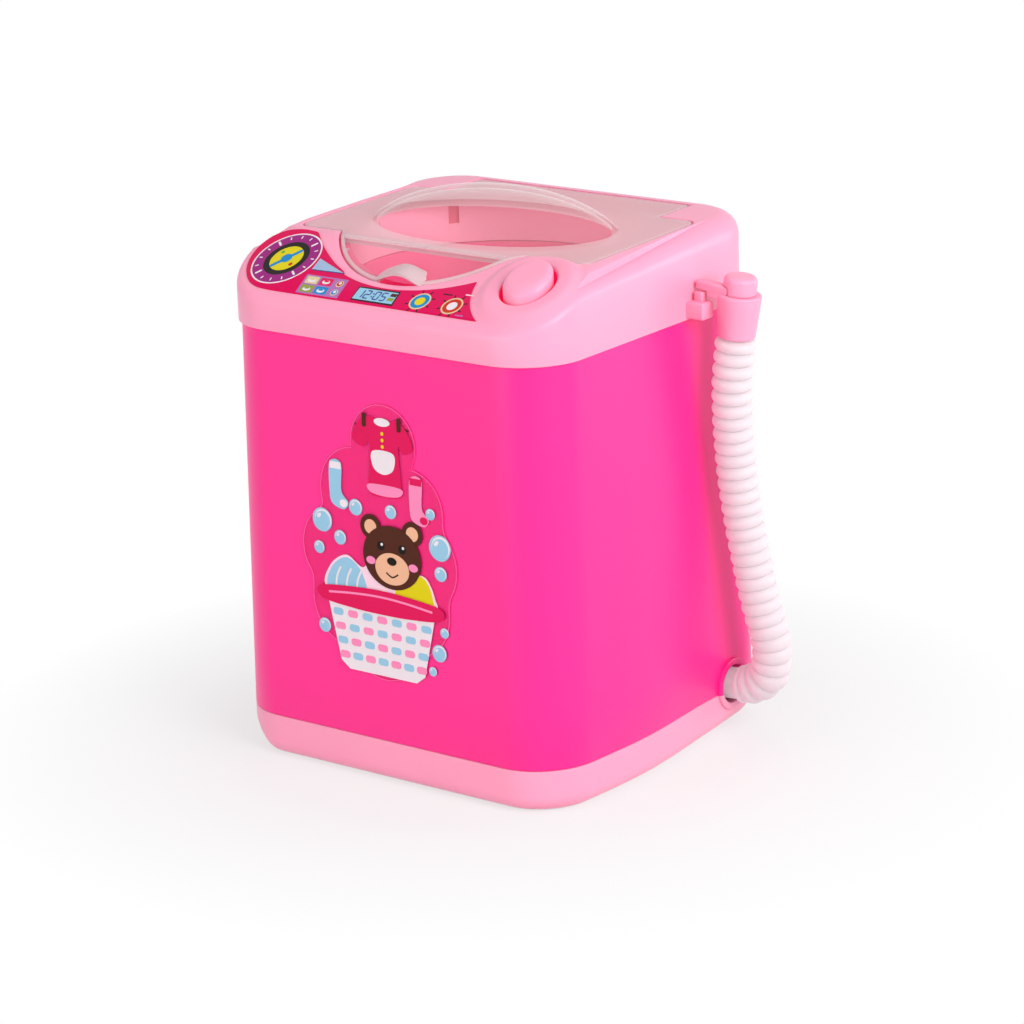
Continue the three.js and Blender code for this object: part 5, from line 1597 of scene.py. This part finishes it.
def make_hose():
    line = route_curve(HOSE_ROUTE)
    total = tube_rings(line, [(0, 1)], 4)[1] - 0.3
    count = int((total - CUFF_LENGTH) / RIB_PITCH)
    pitch = (total - CUFF_LENGTH) / count
    flange = CUFF_LENGTH - FLANGE_WIDTH
    outside = [(0, CUFF_RADIUS - 0.3), (0.3, CUFF_RADIUS), (3, CUFF_RADIUS), (flange - 0.2, CUFF_RADIUS),
               (flange, CUFF_RADIUS + 0.1), (flange + 0.15, FLANGE_RADIUS - 0.15),
               (flange + 0.4, FLANGE_RADIUS), (CUFF_LENGTH - 0.4, FLANGE_RADIUS),
               (CUFF_LENGTH - 0.1, FLANGE_RADIUS - 0.2)]
    for i in range(count):
        for k in range(RIB_STEPS):
            share = k / RIB_STEPS
            wave = abs(math.sin(math.pi * share))
            root = HOSE_ROOT_LOW + (HOSE_ROOT - HOSE_ROOT_LOW) * (i + share) / count
            radius = root + (HOSE_CREST - root) * wave ** 0.6
            outside.append((CUFF_LENGTH + (i + share) * pitch, radius))
    outside.append((total, HOSE_ROOT))
    bore = [(total * k / 60, HOSE_BORE) for k in range(61)]
    rings = tube_rings(line, outside, HOSE_STEPS)[0]
    back = tube_rings(line, bore, HOSE_STEPS)[0][::-1]
    return make_object("hose", Form().skin(rings + back, closed=True), [MILKY])


place("drain_hose_ribbed", make_hose(), "hose", "hose_plastic", "drain_hose", angle=60)


# Sleeve and stopper on the hose's upper end

def on_hose_end(piece):
    place_at = Matrix.Translation(Vector(HOSE_ROUTE[-1]) * MM) @ Matrix.Rotation(SLEEVE_TILT, 4, "Y")
    piece.data.transform(place_at)
    return piece


def plug(radius, low, high):
    return tool(Form().lathe(0, 0, [(radius, low), (radius, high)]))


def make_sleeve():
    edge, foot = 0.5, 0.3
    profile = [(SLEEVE_BORE, 0), (SLEEVE_BOTTOM - foot, 0), (SLEEVE_BOTTOM, foot)]
    profile += [(SLEEVE_BOTTOM + (SLEEVE_TOP - SLEEVE_BOTTOM) * k / 4,
                 foot + (SLEEVE_LENGTH - edge - foot) * k / 4) for k in range(1, 5)]
    profile += [(SLEEVE_TOP - edge * (1 - math.cos(a)), SLEEVE_LENGTH - edge * (1 - math.sin(a)))
                for a in sweep(QUARTER, 5)[1:]]
    profile += [(SLEEVE_BORE, SLEEVE_LENGTH)]
    sleeve = make_object("sleeve", Form().lathe(0, 0, profile, closed=True), [PALE])
    low, high = ARM_Y - ARM_WIDTH / 2, ARM_Y + ARM_WIDTH / 2
    top = SLEEVE_LENGTH + ARM_THICKNESS
    arm = soft_box((-ARM_REACH, low, SLEEVE_LENGTH), (0, high, top), 0.35)
    root = soft_box((-ARM_ROOT, low + 0.05, top - 3.2), (0, high - 0.05, top - 0.05), 0.35)
    combine(arm, [root], "UNION")
    around = plug(STOPPER_RADIUS + 0.3, SLEEVE_LENGTH - 0.01, top + 1)
    bore = plug(SLEEVE_BORE + 0.3, -1, SLEEVE_LENGTH + 1)
    combine(arm, [around, bore], "DIFFERENCE")
    combine(sleeve, [arm], "UNION")
    return on_hose_end(sleeve)


def make_stopper():
    low = SLEEVE_LENGTH + FILM_GAP
    high = low + STOPPER_HEIGHT
    profile = [(0, low - STOPPER_PLUG), (SLEEVE_BORE - 0.5, low - STOPPER_PLUG),
               (SLEEVE_BORE - 0.3, low - STOPPER_PLUG + 0.3), (SLEEVE_BORE - 0.3, low),
               (STOPPER_RADIUS - 0.15, low), (STOPPER_RADIUS, low + 0.15)]
    profile += [(STOPPER_RADIUS - STOPPER_EDGE * (1 - math.cos(a)), high - STOPPER_EDGE * (1 - math.sin(a)))
                for a in sweep(QUARTER, 8)]
    profile += [(0.02, high)]
    return on_hose_end(make_object("stopper", Form().lathe(0, 0, profile), [PALE]))


place("hose_sleeve_cap", make_sleeve(), "hose", "pale_plastic", "hose_sleeve")
place("hose_stopper_cap", make_stopper(), "stopper", "pale_plastic", "hose_stopper")


# Floor, light and camera

SHADOW_NEAR = 60
SHADOW_FAR = 130
FLOOR_DROP = 0.05
FLOOR_RADII = (4000, 2000, 800, 300)


def seen_directly(tree):
    """One for rays from the camera, and for rays that a mirror or a clear part sends on."""
    path = add_node(tree, "LightPath", {}).outputs
    first = {0: path["Is Camera Ray"], 1: path["Is Glossy Ray"]}
    either = add_node(tree, "Math", first, operation="MAXIMUM").outputs[0]
    second = {0: either, 1: path["Is Transmission Ray"]}
    return add_node(tree, "Math", second, operation="MAXIMUM").outputs[0]


def backdrop_material():
    """A pale matt floor that the camera, mirrors and clear parts see as nearly white, with its shadows."""
    material = bpy.data.materials.new("studio_floor")
    material.use_nodes = True
    tree = material.node_tree
    tree.nodes.clear()
    # Near the object the floor keeps its shadow, and further out it is plain white
    place_in = add_node(tree, "TexCoord", {}).outputs["Object"]
    far = add_node(tree, "VectorMath", {0: place_in}, operation="LENGTH").outputs["Value"]
    limits = {"From Min": SHADOW_NEAR * MM, "From Max": SHADOW_FAR * MM, "To Min": 0.66, "To Max": 1}
    fade = add_node(tree, "MapRange", {"Value": far, **limits}).outputs["Result"]
    share = add_node(tree, "Math", {0: seen_directly(tree), 1: fade}, operation="MULTIPLY").outputs[0]
    matt = add_node(tree, "BsdfDiffuse", {"Color": (0.75, 0.75, 0.75, 1)}).outputs[0]
    glow = add_node(tree, "Emission", {"Color": (1, 1, 1, 1), "Strength": 1}).outputs[0]
    mix = add_node(tree, "MixShader", {0: share, 1: matt, 2: glow}).outputs[0]
    add_node(tree, "OutputMaterial", {0: mix})
    return material


def make_floor():
    rings = [level(circle(0, 0, radius, MEDIUM), -FLOOR_DROP) for radius in FLOOR_RADII]
    form = Form().skin(rings, caps=(False, True))
    floor = make_object("floor", form, [backdrop_material()])
    for face in floor.data.polygons:
        if face.normal.z < 0:
            face.flip()


def make_world():
    world = bpy.data.worlds.new("studio")
    bpy.context.scene.world = world
    world.use_nodes = True
    tree = world.node_tree
    strength = {"Value": seen_directly(tree), "To Min": 0.3, "To Max": 1}
    background = tree.nodes["Background"].inputs
    feed(tree, background["Strength"], add_node(tree, "MapRange", strength).outputs["Result"])
    feed(tree, background["Color"], (1, 1, 1, 1))


def area_light(name, place_at, size, power, target=(0, 0, 60)):
    data = bpy.data.lights.new(name, "AREA")
    data.shape = "RECTANGLE"
    data.size, data.size_y = size[0] * MM, size[1] * MM
    data.energy = power
    lamp = bpy.data.objects.new(name, data)
    bpy.context.scene.collection.objects.link(lamp)
    lamp.location = Vector(place_at) * MM
    lamp.rotation_euler = (Vector(target) - Vector(place_at)).to_track_quat("-Z", "Y").to_euler()


CAMERA_PLACE = (506.98, -661.58, 306.44)
CAMERA_AZIMUTH = math.radians(37.22)
CAMERA_ELEVATION = math.radians(16.92)
CAMERA_ROLL = math.radians(-1.8)
CAMERA_LENS = 132.07
CAMERA_SENSOR = 36
CAMERA_REACH = 50


def make_camera():
    data = bpy.data.cameras.new("camera")
    data.lens = CAMERA_LENS
    data.sensor_width = CAMERA_SENSOR
    data.clip_end = CAMERA_REACH
    camera = bpy.data.objects.new("camera", data)
    bpy.context.scene.collection.objects.link(camera)
    a, e, r = CAMERA_AZIMUTH, CAMERA_ELEVATION, CAMERA_ROLL
    back = Vector((math.sin(a) * math.cos(e), -math.cos(a) * math.cos(e), math.sin(e)))
    right = Vector((0, 0, 1)).cross(back).normalized()
    up = back.cross(right)
    cam_x = right * math.cos(r) + up * math.sin(r)
    cam_y = up * math.cos(r) - right * math.sin(r)
    turn = Matrix((cam_x, cam_y, back)).transposed().to_4x4()
    camera.matrix_world = Matrix.Translation(Vector(CAMERA_PLACE) * MM) @ turn
    bpy.context.scene.camera = camera


make_floor()
make_world()
area_light("key", (620, -150, 380), (420, 420), 4.1)
area_light("front", (-150, -720, 200), (520, 420), 2.3)
area_light("top", (-40, 40, 700), (520, 520), 0.9)
area_light("rear", (520, 560, 180), (300, 300), 1.2)
make_camera()
bpy.context.scene.view_settings.view_transform = "Standard"
